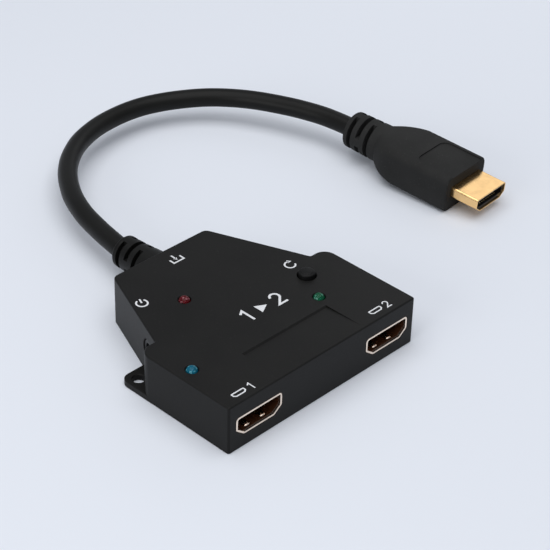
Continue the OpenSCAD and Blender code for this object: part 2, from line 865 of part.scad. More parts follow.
module reset_button() {
    bore_r = plunger_d / 2 + screw_gap;
    skirt_z = plunger_top - button_grip;
    flange_z = flange_top - button_flange_t;
    color("#1a1a1b")
        at_button()
            rotate_extrude()
                polygon([
                    [bore_r, skirt_z], [button_d / 2, skirt_z],
                    [button_d / 2, flange_z], [button_flange_d / 2, flange_z],
                    [button_flange_d / 2, flange_top], [button_d / 2, flange_top],
                    [button_d / 2, button_top - button_dome], [button_d / 2 - button_dome, button_top],
                    [0, button_top], [0, plunger_top], [bore_r, plunger_top]
                ]);
}

module reset_plunger() {
    color("#3a3b3d")
        at_button()
            translate([0, 0, plunger_bottom])
                cylinder(h = plunger_top - plunger_bottom, d = plunger_d);
}

module reset_switch() {
    color("#2c2d2f")
        at_button()
            difference() {
                translate([-switch_w / 2, -switch_w / 2, board_top])
                    cube([switch_w, switch_w, switch_h]);
                translate([0, 0, board_top + switch_base])
                    cylinder(h = switch_h, d = plunger_d + 2 * plunger_gap);
            }
}

// A shallow spring disc: a flat brim on the switch's base and a raised crown
module reset_dome() {
    brim_r = plunger_d / 2;
    crown_r = brim_r / 2;
    color("#c2c5c9")
        at_button()
            translate([0, 0, board_top + switch_base])
                rotate_extrude()
                    polygon([
                        [0, dome_h - dome_t], [crown_r, dome_h - dome_t], [brim_r - dome_t, 0], [brim_r, 0],
                        [brim_r, dome_t], [crown_r + dome_t, dome_h], [0, dome_h]
                    ]);
}

module inlet_body() {
    color("#171718")
        at_inlet()
            difference() {
                union() {
                    translate([-wall - inlet_gap - inlet_l, -inlet_w / 2, -inlet_rise])
                        cube([inlet_l, inlet_w, inlet_rise + inlet_top]);
                    inlet_bar(inlet_hole_d - 2 * inlet_gap, inlet_sink, wall + inlet_gap + inlet_l / 2);
                }
                inlet_bar(inlet_bore_d, -over, inlet_bore_l);
                translate([
                    -inlet_bore_l, -inlet_spring_w / 2 - inlet_gap / 2, -inlet_bore_d / 2 - inlet_spring_t
                ])
                    cube([inlet_bore_l - wall - 2 * inlet_gap, inlet_spring_w + inlet_gap, inlet_bore_d / 2]);
            }
}

module inlet_pin() {
    color("#c8cacc")
        at_inlet()
            inlet_bar(inlet_pin_d, inlet_pin_in, inlet_bore_l);
}

// A leaf that lies in the slot under the bore
module inlet_spring() {
    color("#c8cacc")
        at_inlet()
            translate([-inlet_bore_l, -inlet_spring_w / 2, -inlet_bore_d / 2 - inlet_spring_t])
                cube([inlet_bore_l - wall - 3 * inlet_gap, inlet_spring_w, inlet_spring_t]);
}

module splitter_chip() {
    color("#19191a")
        translate([-chip_w / 2, chip_y - chip_w / 2, board_top])
            cube([chip_w, chip_w, chip_h]);
}

// Bent leads in a row on each side of the chip
module chip_leads_set() {
    lead_step = (chip_w - 2 * chip_lead_out) / (chip_leads - 1);
    color("#b9bcc0")
        translate([0, chip_y, board_top])
            for (a = [0 : 90 : 270], k = [0 : chip_leads - 1])
                rotate([0, 0, a])
                    translate([chip_w / 2, (k - (chip_leads - 1) / 2) * lead_step + chip_lead_w / 2, 0])
                        rotate([90, 0, 0])
                            linear_extrude(chip_lead_w)
                                polygon([
                                    [0, chip_lead_rise], [chip_lead_out / 3, chip_lead_rise],
                                    [chip_lead_out / 3, 0], [chip_lead_out, 0], [chip_lead_out, chip_lead_t],
                                    [chip_lead_out / 3 + chip_lead_t, chip_lead_t],
                                    [chip_lead_out / 3 + chip_lead_t, chip_lead_rise + chip_lead_t],
                                    [0, chip_lead_rise + chip_lead_t]
                                ]);
}

module memory_chip() {
    color("#19191a")
        translate([-memory_l / 2, memory_y - memory_w / 2, board_top])
            cube([memory_l, memory_w, memory_h]);
}

// A moulding with a soldered tab behind it
module regulator() {
    tab_w = regulator_l / 2;
    tab_l = regulator_w / 3;
    color("#19191a")
        translate([-regulator_x, front_y + regulator_in, board_top]) {
            translate([-regulator_l / 2, -regulator_w / 2, 0])
                cube([regulator_l, regulator_w, regulator_h]);
            translate([-tab_w / 2, regulator_w / 2, 0])
                cube([tab_w, tab_l, regulator_h / 4]);
        }
}

module power_coil() {
    flange = coil_h / 5;
    color("#3b3c3e")
        translate([-coil_x, coil_y, board_top]) {
            translate([-coil_w / 2, -coil_w / 2, 0])
                cube([coil_w, coil_w, flange]);
            cylinder(h = coil_h - flange, d = coil_drum_d);
            translate([-coil_w / 2, -coil_w / 2, coil_h - flange])
                cube([coil_w, coil_w, flange]);
        }
}

// A pressed can with round ends on a flanged foot
module crystal() {
    color("#bfc2c6")
        translate([0, crystal_y, board_top]) {
            linear_extrude(crystal_foot)
                can_outline(crystal_l, crystal_w);
            linear_extrude(crystal_h)
                can_outline(crystal_l - crystal_foot, crystal_w - crystal_foot);
        }
}

module can_outline(l, w) {
    square([l - w, w], center = true);
    for (end = [-1, 1])
        translate([end * (l - w) / 2, 0])
            circle(d = w);
}

module capacitors() {
    color("#9fa3a8")
        for (k = [0, 1])
            translate([capacitor_x + k * capacitor_pitch, coil_y, board_top]) {
                translate([-capacitor_d / 2, -capacitor_d / 2, 0])
                    cube([capacitor_d, capacitor_d, capacitor_foot]);
                cylinder(h = capacitor_h, d = capacitor_d);
            }
}

// Flex slots cut in from opposite sides, every second pair turned a quarter
module flex_slots(count, first, outer_d) {
    core_d = cable_d + 2 * slot_core;
    for (k = [0 : count - 1])
        translate([0, first - k * slot_pitch - slot_w / 2, 0])
            rotate([0, (k % 2) * 90, 0])
                difference() {
                    turned_y(0, [[core_d / 2, 0], [outer_d, 0], [outer_d, slot_w], [core_d / 2, slot_w]]);
                    translate([-slot_rib / 2, -over, -outer_d])
                        cube([slot_rib, slot_w + 2 * over, 2 * outer_d]);
                }
}

relief_end = back_y + relief_l;

module strain_relief() {
    color("#202122")
        translate([0, 0, relief_z])
            difference() {
                turned_y(0, [
                    [0, back_y - wall - relief_flange_t],
                    [relief_flange_d / 2, back_y - wall - relief_flange_t],
                    [relief_flange_d / 2, back_y - wall], [relief_waist_d / 2, back_y - wall],
                    [relief_waist_d / 2, back_y], [relief_root_d / 2, back_y],
                    [relief_tip_d / 2, relief_end - slot_in / 2],
                    [relief_tip_d / 2 - slot_in / 2, relief_end],
                    [0, relief_end]
                ]);
                flex_slots(slot_rows, relief_end - slot_in - slot_w / 2, relief_root_d);
            }
}

// The plug's own frame: its front face in the middle, its lead along +Y
plug_z = grip_t / 2;
boot_end = grip_l + grip_shoulder_l + boot_l;
plug_back = [-sin(plug_turn) * cos(plug_rise), cos(plug_turn) * cos(plug_rise), sin(plug_rise)];
plug_front = [plug_x, plug_y, plug_z];

module at_plug() {
    translate(plug_front)
        rotate([plug_rise, 0, plug_turn])
            children();
}

// Route of the lead from the strain relief to the plug's boot
cable_start = [0, relief_end, relief_z];
cable_stop = plug_front + plug_back * boot_end;
cable_route = concat([cable_start], [
    [0.6, 48.5, 7.4], [1.8, 55.2, 7.4], [4.1, 64.5, 7.5], [8.7, 74.9, 7.5], [16.5, 85.5, 7.4],
    [26.4, 93.4, 7.2], [36.3, 97.5, 7.1], [45.6, 99, 7], [54.1, 98.6, 7], [61.2, 96.4, 7.1],
    [67.9, 92.7, 7.3], [73.7, 88.2, 7.5], [78.5, 82.4, 7.8], [82.1, 76.2, 8.1], [85.2, 69.2, 8.3],
    [87.5, 62.4, 8.5], [89.5, 54.5, 8.5]
], [cable_stop]);

// A tube swept along a route, square to the given directions at its ends
function route_heading(route, i, first, last) =
    i == 0 ? first : i == len(route) - 1 ? last : unit(route[i + 1] - route[i - 1]);
function ring_side(heading) = unit(cross([0, 0, 1], heading));
function tube_ring(centre, heading, r, sides) = [
    for (k = [0 : sides - 1])
        let (a = 360 * (k + 0.5) / sides, side = ring_side(heading), rise = cross(heading, side))
            centre + r * (cos(a) * side + sin(a) * rise)
];

module tube(route, d, sides, first, last) {
    rings = len(route);
    points = [
        for (i = [0 : rings - 1])
            each tube_ring(route[i], route_heading(route, i, first, last), d / 2, sides)
    ];
    start_face = [for (k = [0 : sides - 1]) k];
    end_face = [for (k = [0 : sides - 1]) rings * sides - 1 - k];
    walls = [
        for (i = [0 : rings - 2], k = [0 : sides - 1])
            let (a = i * sides + k, b = i * sides + (k + 1) % sides)
                each [[a, a + sides, b + sides], [a, b + sides, b]]
    ];
    polyhedron(points, concat([start_face, end_face], walls));
}

module cable() {
    color("#1c1d1e")
        tube(cable_route, cable_d, 12, [0, 1, 0], -plug_back);
}

// Wires that fan out from the lead's inner end and lie on the board's back edge
module cable_wires() {
    wires = 5;
    y0 = back_y - wall - relief_flange_t;
    y1 = board_back;
    lie_z = board_top + wire_d / 2;
    color("#a8a29a")
        for (k = [0 : wires - 1]) {
            x0 = (k - (wires - 1) / 2) * wire_pitch;
            x1 = (k - (wires - 1) / 2) * wire_spread;
            tube([
                [x0, y0, relief_z], [x0, y0 - (y0 - y1) / 4, relief_z],
                [(x0 + x1) / 2, (y0 + y1) / 2, (relief_z + lie_z) / 2],
                [x1, y1, lie_z], [x1, y1 - wire_on_board, lie_z]
            ], wire_d, 8, [0, -1, 0], [0, -1, 0]);
        }
}

// Corners of the grip's section, given half its width and half its thickness
function grip_outline(w, h) = [[-w, -h], [w, -h], [w, h], [-w, h]];
// Half the width or thickness at a share of the way along the shoulder
function shoulder_half(half, t) = half - (half - boot_root_d / 2) * pow(t, shoulder_bow);
plug_outline = shell_outline(plug_w, plug_h, plug_waist, plug_side);
// The plug shell's outline, moved in by d
function plug_wall(d) = arc_outline(inset(plug_outline, d), plug_r - d);
// Thickness of the slices that the shoulder is drawn between, and their places along it
slice = 0.2;
shoulder_steps = [0, 0.4, 0.65, 0.85];

module shoulder_slice(t) {
    w = shoulder_half(grip_w / 2, t);
    h = shoulder_half(grip_t / 2, t);
    y1 = grip_l + grip_shoulder_l * t;
    along_y(y1 - slice, y1)
        rounded(grip_outline(w, h), same(grip_r + (h - slice - grip_r) * t, 4), $fn = 32);
}

module plug_grip() {
    color("#202122")
        at_plug()
            difference() {
                union() {
                    along_y(0, grip_l)
                        rounded(grip_outline(grip_w / 2, grip_t / 2), same(grip_r, 4));
                    hull() {
                        for (t = shoulder_steps)
                            shoulder_slice(t);
                        turned_y(grip_l + grip_shoulder_l - slice, [
                            [0, 0], [boot_root_d / 2, 0], [boot_root_d / 2, slice], [0, slice]
                        ], $fn = 32);
                    }
                    turned_y(0, [
                        [0, grip_l], [boot_root_d / 2, grip_l], [boot_root_d / 2, grip_l + grip_shoulder_l],
                        [boot_tip_d / 2, boot_end - slot_in / 2], [boot_tip_d / 2 - slot_in / 2, boot_end],
                        [0, boot_end]
                    ]);
                }
                flex_slots(slot_rows, boot_end - slot_in - slot_w / 2, boot_root_d);
                translate([-grip_w / 2 + panel_side, -over, grip_t / 2 - panel_depth])
                    cube([grip_w - 2 * panel_side, panel_l + over, panel_depth + over]);
                along_y(-over, plug_held)
                    polygon(plug_wall(0));
            }
}

module plug_shell() {
    color("#d9a94f")
        at_plug()
            difference() {
                along_y(-plug_out, plug_held)
                    polygon(plug_wall(0));
                along_y(-plug_out - over, plug_held + over)
                    polygon(plug_wall(plug_sheet));
            }
}

module plug_insulator() {
    color("#141415")
        at_plug()
            difference() {
                along_y(-plug_out + plug_recess, plug_held)
                    polygon(plug_wall(plug_sheet + plug_gap));
                translate([-plug_slot_w / 2, -plug_out + plug_recess - over, -plug_slot_h / 2])
                    cube([plug_slot_w, plug_slot_l + over, plug_slot_h]);
            }
}

// Contacts on the roof and floor of the plug's slot
module plug_contacts() {
    y0 = -plug_out + plug_recess + contact_in;
    run = plug_slot_l - contact_in;
    color("#e3c27a")
        at_plug() {
            contact_row(upper_contacts, y0, plug_slot_h / 2 - contact_t, run);
            contact_row(lower_contacts, y0, -plug_slot_h / 2, run);
        }
}

top_housing();
bottom_cover();
cover_screws();
main_board();
out1_shell();
out1_insulator();
out1_contacts();
out2_shell();
out2_insulator();
out2_contacts();
power_lamp();
out1_lamp();
out2_lamp();
lamp_leads();
reset_button();
reset_plunger();
reset_switch();
reset_dome();
inlet_body();
inlet_pin();
inlet_spring();
splitter_chip();
chip_leads_set();
memory_chip();
regulator();
power_coil();
crystal();
capacitors();
strain_relief();
cable();
cable_wires();
plug_grip();
plug_shell();
plug_insulator();
plug_contacts();
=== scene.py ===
"""Looks of a two-way video splitter with a captive lead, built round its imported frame.

Shapes are worked out in millimetres, in the part's own frame, and become metres when a piece is settled.
"""
import logging
import math
from collections.abc import Mapping, Sequence
from dataclasses import dataclass, field
from enum import Enum

import bmesh
import bpy
from mathutils import Matrix, Vector


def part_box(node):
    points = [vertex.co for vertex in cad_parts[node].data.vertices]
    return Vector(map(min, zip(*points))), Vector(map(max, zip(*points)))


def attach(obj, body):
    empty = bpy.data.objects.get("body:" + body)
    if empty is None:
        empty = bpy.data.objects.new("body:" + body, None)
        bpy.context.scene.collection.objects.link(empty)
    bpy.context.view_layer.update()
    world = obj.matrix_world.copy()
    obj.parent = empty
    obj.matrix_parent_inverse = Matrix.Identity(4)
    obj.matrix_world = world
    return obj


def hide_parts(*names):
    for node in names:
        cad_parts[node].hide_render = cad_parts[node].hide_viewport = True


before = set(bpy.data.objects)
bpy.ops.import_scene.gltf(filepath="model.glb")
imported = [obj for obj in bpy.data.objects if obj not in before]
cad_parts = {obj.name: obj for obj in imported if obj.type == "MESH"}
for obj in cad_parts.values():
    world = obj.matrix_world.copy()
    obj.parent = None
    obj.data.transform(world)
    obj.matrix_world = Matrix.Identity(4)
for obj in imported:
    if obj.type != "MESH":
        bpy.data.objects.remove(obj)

LOG = logging.getLogger("splitter")
MM = 0.001
# Overrun of a cutting shape past the face that it cuts
OVER = 1.0
# Smallest radius of a rounded corner
LEAST_RADIUS = 0.02
# How far a shape stays back from a face that it would else share
SHY = 0.01
# Radius at which a turned profile meets its axis
AXIS_RADIUS = 0.01
# Points closer than this are one
SAME_POINT = 1e-5
# Rounding of sharp edges: the steps, the least angle in degrees, and the share of its width that merges
SOFT_STEPS = 2
SOFT_ANGLE = 45.0
MERGE_SHARE = 0.7

Colour = tuple[float, float, float]
Ring = list[Vector]
Piece = bpy.types.Object


class Body(Enum):
    """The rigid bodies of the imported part."""

    HOUSING = "splitter"
    KEY = "reset_key"


class Axis(Enum):
    """The upright of a turned shape."""

    DEPTH = "Y"
    UP = "Z"


# Shader graph


class Signal:
    """A shader socket that adds Math nodes when it is used in an expression."""

    def __init__(self, sheet: "ShaderSheet", socket: bpy.types.NodeSocket) -> None:
        """Wraps one output socket of a sheet."""
        self.sheet = sheet
        self.socket = socket

    def _math(self, operation: str, first: "Signal | float", second: "Signal | float") -> "Signal":
        """Adds one Math node and gives its result."""
        return self.sheet.node("ShaderNodeMath", {"operation": operation}, {0: first, 1: second})

    def __add__(self, other: "Signal | float") -> "Signal":
        """Adds a value or a signal."""
        return self._math("ADD", self, other)

    def __radd__(self, other: float) -> "Signal":
        """Adds this signal to a value."""
        return self._math("ADD", other, self)

    def __sub__(self, other: "Signal | float") -> "Signal":
        """Takes a value or a signal away."""
        return self._math("SUBTRACT", self, other)

    def __rsub__(self, other: float) -> "Signal":
        """Takes this signal away from a value."""
        return self._math("SUBTRACT", other, self)

    def __mul__(self, other: "Signal | float") -> "Signal":
        """Multiplies by a value or a signal."""
        return self._math("MULTIPLY", self, other)

    def __rmul__(self, other: float) -> "Signal":
        """Multiplies a value by this signal."""
        return self._math("MULTIPLY", other, self)

    def band(self, low: float, high: float) -> "Signal":
        """Gives a soft ramp from 0 at low to 1 at high."""
        return self.sheet.node(
            "ShaderNodeMapRange", {"clamp": True, "interpolation_type": "SMOOTHSTEP"},
            {"Value": self, "From Min": low, "From Max": high},
        )


class ShaderSheet:
    """The node tree of one material or of the world."""

    def __init__(self, owner: bpy.types.Material | bpy.types.World, output: str) -> None:
        """Clears the owner's tree.

        Args:
            owner: The material or the world.
            output: The type of its output node.
        """
        owner.use_nodes = True
        self.tree = owner.node_tree
        self.tree.nodes.clear()
        self.output = self.tree.nodes.new(output)

    def node(
        self,
        kind: str,
        settings: Mapping[str, object] | None = None,
        inputs: Mapping[int | str, object] | None = None,
        out: int | str = 0,
    ) -> Signal:
        """Adds any node.

        Args:
            kind: The node's type.
            settings: Its properties, which are set first.
            inputs: The values or links of its sockets, by name or number.
            out: The output socket that is wanted, by name or number.

        Returns:
            That output.
        """
        made = self.tree.nodes.new(kind)
        for key, value in (settings or {}).items():
            setattr(made, key, value)
        for key, value in (inputs or {}).items():
            if isinstance(value, Signal):
                self.tree.links.new(value.socket, made.inputs[key])
            else:
                made.inputs[key].default_value = value
        return Signal(self, made.outputs[out])

    def place(self) -> Signal:
        """Gives the point on the surface in the part's own frame."""
        return self.node("ShaderNodeTexCoord", out="Object")

    def noise(self, place: Signal, pitch: float, detail: float = 2.0, stretch: Colour = (1, 1, 1)) -> Signal:
        """Gives a soft random pattern round 0.5, with patches of a pitch in millimetres."""
        spread = self.node("ShaderNodeMapping", {"vector_type": "POINT"}, {"Vector": place, "Scale": stretch})
        return self.node(
            "ShaderNodeTexNoise", {}, {"Vector": spread, "Scale": 1 / (pitch * MM), "Detail": detail}, "Fac"
        )

    def mix(self, factor: Signal, low: Colour | Signal, high: Colour | Signal) -> Signal:
        """Blends two colours: factor 0 gives the first and 1 the second."""
        ends = [end if isinstance(end, Signal) else (*end, 1) for end in (low, high)]
        return self.node("ShaderNodeMix", {"data_type": "RGBA"}, {0: factor, 6: ends[0], 7: ends[1]}, out=2)

    def bump(self, height: Signal, depth: float) -> Signal:
        """Turns a height from 0 to 1 into a normal; depth is what 1 stands for, in millimetres."""
        return self.node("ShaderNodeBump", {}, {"Height": height, "Distance": depth * MM, "Strength": 1.0})

    def principled(self, inputs: Mapping[str, object]) -> Signal:
        """Adds the main surface shader with the given sockets."""
        return self.node("ShaderNodeBsdfPrincipled", {}, inputs)

    def close(self, surface: Signal) -> None:
        """Links the finished shader to the output."""
        self.tree.links.new(surface.socket, self.output.inputs["Surface"])


def shade(colour: Colour, amount: float) -> Colour:
    """Makes a colour darker or lighter by a factor on each channel."""
    return tuple(channel * amount for channel in colour)


# Finishes


@dataclass(frozen=True)
class Finish:
    """What every finish has: a name and a colour."""

    name: str
    colour: Colour

    def material(self) -> bpy.types.Material:
        """Gives the finish's material, made once."""
        made = bpy.data.materials.get(self.name)
        if made is None:
            made = bpy.data.materials.new(self.name)
            sheet = ShaderSheet(made, "ShaderNodeOutputMaterial")
            sheet.close(self.surface(sheet))
        return made

    def surface(self, sheet: ShaderSheet) -> Signal:
        """Builds the shader; each finish has its own."""
        raise NotImplementedError


@dataclass(frozen=True)
class MouldedPlastic(Finish):
    """Plastic with the fine grain of a spark-eroded mould."""

    grain: float = 0.22
    depth: float = 0.012
    roughness: float = 0.46
    gloss: float = 0.15
    patch: float = 16.0
    patch_shades: tuple[float, float] = (0.86, 1.16)
    patch_wear: float = 0.1
    grain_wear: float = 0.16
    speck: float = 2.6
    speck_share: float = 0.16
    speck_shade: float = 4.0

    def surface(self, sheet: ShaderSheet) -> Signal:
        """Builds a grained surface with faint cloudy patches and specks of dust."""
        place = sheet.place()
        grain = sheet.noise(place, self.grain, 3)
        cloud = sheet.noise(place, self.patch, 3)
        dust = sheet.noise(place, self.grain * self.speck, 0).band(0.74, 0.8)
        clean = sheet.mix(cloud.band(0.3, 0.7), *(shade(self.colour, amount) for amount in self.patch_shades))
        return sheet.principled({
            "Base Color": sheet.mix(dust * self.speck_share, clean, shade(self.colour, self.speck_shade)),
            "Roughness": self.roughness + (grain - 0.5) * self.grain_wear + (cloud - 0.5) * self.patch_wear,
            "Specular IOR Level": self.gloss,
            "Normal": sheet.bump(grain, self.depth),
        })


@dataclass(frozen=True)
class GoldPlate(Finish):
    """Thin gold over drawn sheet metal."""

    roughness: float = 0.2
    draw: Colour = (1.0, 0.06, 1.0)
    draw_pitch: float = 0.12
    draw_depth: float = 0.002
    tarnish: float = 0.86
    tarnish_patch: float = 3.2
    # Painted shade: its dark brown colour, the depth along Y where it starts, the run over which it comes in, and
    # how much metal it takes away
    dull_patch_and_painted_shade: Colour = (0.14, 0.053, 0.025)
    painted_shade_from: float | None = None
    painted_shade_run: float = 0.5
    painted_shade_share: float = 0.35

    def surface(self, sheet: ShaderSheet) -> Signal:
        """Builds a metal with fine drawing lines, a little tarnish, and painted shade inside past a depth along
        Y.
        """
        place = sheet.place()
        lines = sheet.noise(place, self.draw_pitch, 2, self.draw)
        cloud = sheet.noise(place, self.tarnish_patch, 3)
        colour = sheet.mix(cloud.band(0.35, 0.75), self.colour, shade(self.colour, self.tarnish))
        metal: Signal | float = 1.0
        if self.painted_shade_from is not None:
            # Painted shade: past that depth the plate turns dark brown and less metallic, standing in for the
            # shade inside the sleeve
            depth = sheet.node("ShaderNodeSeparateXYZ", {}, {"Vector": place}, "Y")
            inside = depth.band(self.painted_shade_from * MM, (self.painted_shade_from + self.painted_shade_run) * MM)
            colour = sheet.mix(inside, colour, self.dull_patch_and_painted_shade)
            metal = 1 - inside * self.painted_shade_share
        return sheet.principled({
            "Base Color": colour,
            "Metallic": metal,
            "Roughness": self.roughness + (lines - 0.5) * 0.14 + (cloud - 0.5) * 0.1,
            "Normal": sheet.bump(lines, self.draw_depth),
        })


@dataclass(frozen=True)
class BareMetal(Finish):
    """Plain or tinned metal with fine rubbing marks."""

    roughness: float = 0.3
    rub: Colour = (1.0, 0.2, 0.2)
    rub_pitch: float = 0.1
    rub_depth: float = 0.003
    dull_patch: float = 1.4
    dull_shade: float = 0.8

    def surface(self, sheet: ShaderSheet) -> Signal:
        """Builds a metal with rubbing marks and duller patches."""
        place = sheet.place()
        rub = sheet.noise(place, self.rub_pitch, 2, self.rub)
        dull_patch_and_painted_shade = sheet.noise(place, self.dull_patch, 3)
        return sheet.principled({
            "Base Color": sheet.mix(dull_patch_and_painted_shade.band(0.3, 0.7), self.colour, shade(self.colour, self.dull_shade)),
            "Metallic": 1.0,
            "Roughness": self.roughness + (rub - 0.5) * 0.16 + (dull_patch_and_painted_shade - 0.5) * 0.2,
            "Normal": sheet.bump(rub, self.rub_depth),
        })


@dataclass(frozen=True)
class LampResin(Finish):
    """Clear tinted resin of an unlit lamp."""

    clearness: float = 0.5
    # Pitch of the painted highlights in the dome
    painted_glint_pitch: float = 0.95
    cloud_patch: float = 0.9
    cloud_shade: float = 0.85
    ior: float = 1.3
    gloss: float = 0.3

    def surface(self, sheet: ShaderSheet) -> Signal:
        """Builds a tinted glassy body with a faintly clouded skin and a few painted highlights."""
        place = sheet.place()
        cloud = sheet.noise(place, self.cloud_patch, 2)
        # Painted highlights: pale spots from a Voronoi pattern, mixed into the resin's colour, stand in for
        # glints in the dome
        pitch = 1 / (self.painted_glint_pitch * MM)
        painted_glint_cells = sheet.node("ShaderNodeTexVoronoi", {}, {"Vector": place, "Scale": pitch}, "Distance")
        tint = sheet.mix(cloud, shade(self.colour, self.cloud_shade), self.colour)
        painted_glint_colour = tuple(0.1 + 0.9 * math.sqrt(channel) for channel in self.colour)
        return sheet.principled({
            "Base Color": sheet.mix(1 - painted_glint_cells.band(0.2, 0.4), tint, painted_glint_colour),
            "Roughness": 0.05 + cloud * 0.06,
            "IOR": self.ior,
            "Specular IOR Level": self.gloss,
            "Transmission Weight": self.clearness,
        })


@dataclass(frozen=True)
class PrintedInk(Finish):
    """Pad-printed ink, a little uneven."""

    pinhole: float = 0.16
    thin_shade: float = 0.82

    def surface(self, sheet: ShaderSheet) -> Signal:
        """Builds a matt ink with faint pinholes."""
        thin = sheet.noise(sheet.place(), self.pinhole, 2).band(0.3, 0.6)
        return sheet.principled({
            "Base Color": sheet.mix(thin, shade(self.colour, self.thin_shade), self.colour),
            "Roughness": 0.6 + thin * 0.1,
            "Specular IOR Level": 0.3,
        })


@dataclass(frozen=True)
class SolderMask(Finish):
    """Green lacquer over copper tracks."""

    copper: Colour = (0.02, 0.12, 0.045)
    track: float = 2.4
    track_depth: float = 0.02

    def surface(self, sheet: ShaderSheet) -> Signal:
        """Builds a glossy lacquer with paler bands where tracks run under it."""
        sizes = {"Scale": 1 / (self.track * MM), "Mortar Size": 0.06, "Brick Width": 1.4, "Row Height": 0.5}
        tracks = sheet.node("ShaderNodeTexBrick", {"offset": 0.5}, {"Vector": sheet.place(), **sizes}, "Fac")
        return sheet.principled({
            "Base Color": sheet.mix(tracks, self.colour, self.copper),
            "Roughness": 0.32 + tracks * 0.1,
            "Normal": sheet.bump(tracks, self.track_depth),
        })


class Palette:
    """The finishes of the splitter."""

    HOUSING = MouldedPlastic("housing_plastic", (0.0066, 0.0064, 0.006))
    JACKET = MouldedPlastic("lead_jacket", (0.006, 0.006, 0.0055), grain=0.16, depth=0.006, roughness=0.42)
    GRIP = MouldedPlastic(
        "grip_plastic", (0.025, 0.025, 0.0245), grain=0.16, depth=0.006, roughness=0.66, gloss=0.07
    )
    KEY = MouldedPlastic("key_plastic", (0.005, 0.005, 0.005), grain=0.2, depth=0.01, roughness=0.5)
    MOULDING = MouldedPlastic("inner_moulding", (0.012, 0.012, 0.0125), grain=0.12, depth=0.004, roughness=0.38)
    FERRITE = MouldedPlastic("ferrite", (0.05, 0.05, 0.054), grain=0.3, depth=0.02, roughness=0.7)
    SLEEVE = MouldedPlastic("wire_sleeve", (0.3, 0.27, 0.24), grain=0.1, depth=0.004, roughness=0.5)
    GILT = GoldPlate("gilt_sheet", (0.98, 0.64, 0.29))
    # The socket sheet gets painted shade inside its mouth, from just behind the port face
    SOCKET = GoldPlate("socket_sheet", (0.99, 0.84, 0.71), roughness=0.16, painted_shade_from=-28.9)
    SPRING = GoldPlate("spring_crest", (0.98, 0.8, 0.66), roughness=0.12)
    CONTACT = GoldPlate("contact_gold", (0.9, 0.64, 0.3), roughness=0.16)
    STEEL = BareMetal("screw_steel", (0.42, 0.42, 0.43))
    TIN = BareMetal("tin_plate", (0.66, 0.67, 0.68), roughness=0.26)
    RED = LampResin("red_resin", (0.16, 0.003, 0.008))
    BLUE = LampResin("blue_resin", (0.003, 0.2, 0.32))
    GREEN = LampResin("green_resin", (0.003, 0.15, 0.065))
    INK = PrintedInk("white_ink", (0.8, 0.81, 0.83))
    BOARD = SolderMask("solder_mask", (0.006, 0.045, 0.018))


# Mesh making


def rounded_ring(
    corners: Sequence[tuple[float, float]], radii: Sequence[float], inset: float = 0.0, steps: int = 8
) -> list[Vector]:
    """Rounds the corners of a flat outline that runs anticlockwise.

    Args:
        corners: The sharp corners.
        radii: The radius at each corner.
        inset: How far the whole outline moves in.
        steps: The straight steps of each arc.

    Returns:
        The outline's points, as many for any inset.
    """
    points = [Vector(corner) for corner in corners]
    ring = []
    for i, here in enumerate(points):
        before = (points[i - 1] - here).normalized()
        after = (points[(i + 1) % len(points)] - here).normalized()
        half = before.angle(after) / 2
        side = 1 if before.x * after.y - before.y * after.x < 0 else -1
        inward = (before + after).normalized()
        tip = here + inward * (side * inset / math.sin(half))
        radius = max(radii[i] - side * inset, LEAST_RADIUS)
        centre = tip + inward * (radius / math.sin(half))
        start = tip + before * (radius / math.tan(half)) - centre
        sweep = side * (math.pi - 2 * half)
        ring += [centre + Matrix.Rotation(sweep * k / steps, 2) @ start for k in range(steps + 1)]
    return ring


def box_corners(x0: float, y0: float, x1: float, y1: float) -> list[tuple[float, float]]:
    """Gives the corners of an upright rectangle, anticlockwise."""
    return [(x0, y0), (x1, y0), (x1, y1), (x0, y1)]


def flat_ring(outline: Sequence[Vector], z: float) -> Ring:
    """Lays a flat outline at a height."""
    return [Vector((p.x, p.y, z)) for p in outline]


def deep_ring(outline: Sequence[Vector], y: float) -> Ring:
    """Stands an outline in x and z at a depth."""
    return [Vector((p.x, y, p.y)) for p in outline]


def loft(mesh: bmesh.types.BMesh, rings: Sequence[Ring], closed: bool = True) -> None:
    """Joins rings of equal count with quads.

    Args:
        mesh: The mesh that takes the faces.
        rings: The rings, in order.
        closed: Whether the first and last ring are filled.
    """
    made = [[mesh.verts.new(point) for point in ring] for ring in rings]
    count = len(made[0])
    for lower, upper in zip(made, made[1:]):
        for k in range(count):
            follow = (k + 1) % count
            mesh.faces.new((lower[k], lower[follow], upper[follow], upper[k]))
    if closed:
        mesh.faces.new(made[0][::-1])
        mesh.faces.new(made[-1])


def turn(profile: Sequence[tuple[float, float]], axis: Axis, segments: int = 64) -> list[Ring]:
    """Turns a profile round an axis through the origin.

    Args:
        profile: Pairs of radius and distance along the axis.
        axis: The upright of the shape.
        segments: The number of steps round it.

    Returns:
        One ring for each pair.
    """
    rings = []
    for radius, distance in profile:
        ring = []
        for k in range(segments):
            angle = 2 * math.pi * k / segments
            u, v = radius * math.cos(angle), radius * math.sin(angle)
            ring.append(Vector((u, v, distance)) if axis is Axis.UP else Vector((u, distance, v)))
        rings.append(ring)
    return rings


def arc_profile(
    centre: tuple[float, float], radius: float, start: float, stop: float, steps: int
) -> list[tuple[float, float]]:
    """Gives points along an arc, in equal steps between two angles in degrees."""
    angles = [math.radians(start + (stop - start) * k / steps) for k in range(steps + 1)]
    return [(centre[0] + radius * math.cos(a), centre[1] + radius * math.sin(a)) for a in angles]


def raw_piece(name: str, rings: Sequence[Ring], place: Matrix | None = None) -> Piece:
    """Makes an object, still in millimetres, from one closed loft.

    Args:
        name: The object's name.
        rings: The rings of the loft.
        place: Where the shape goes.

    Returns:
        The object.
    """
    mesh = bmesh.new()
    loft(mesh, rings)
    return raw_object(name, mesh, place)


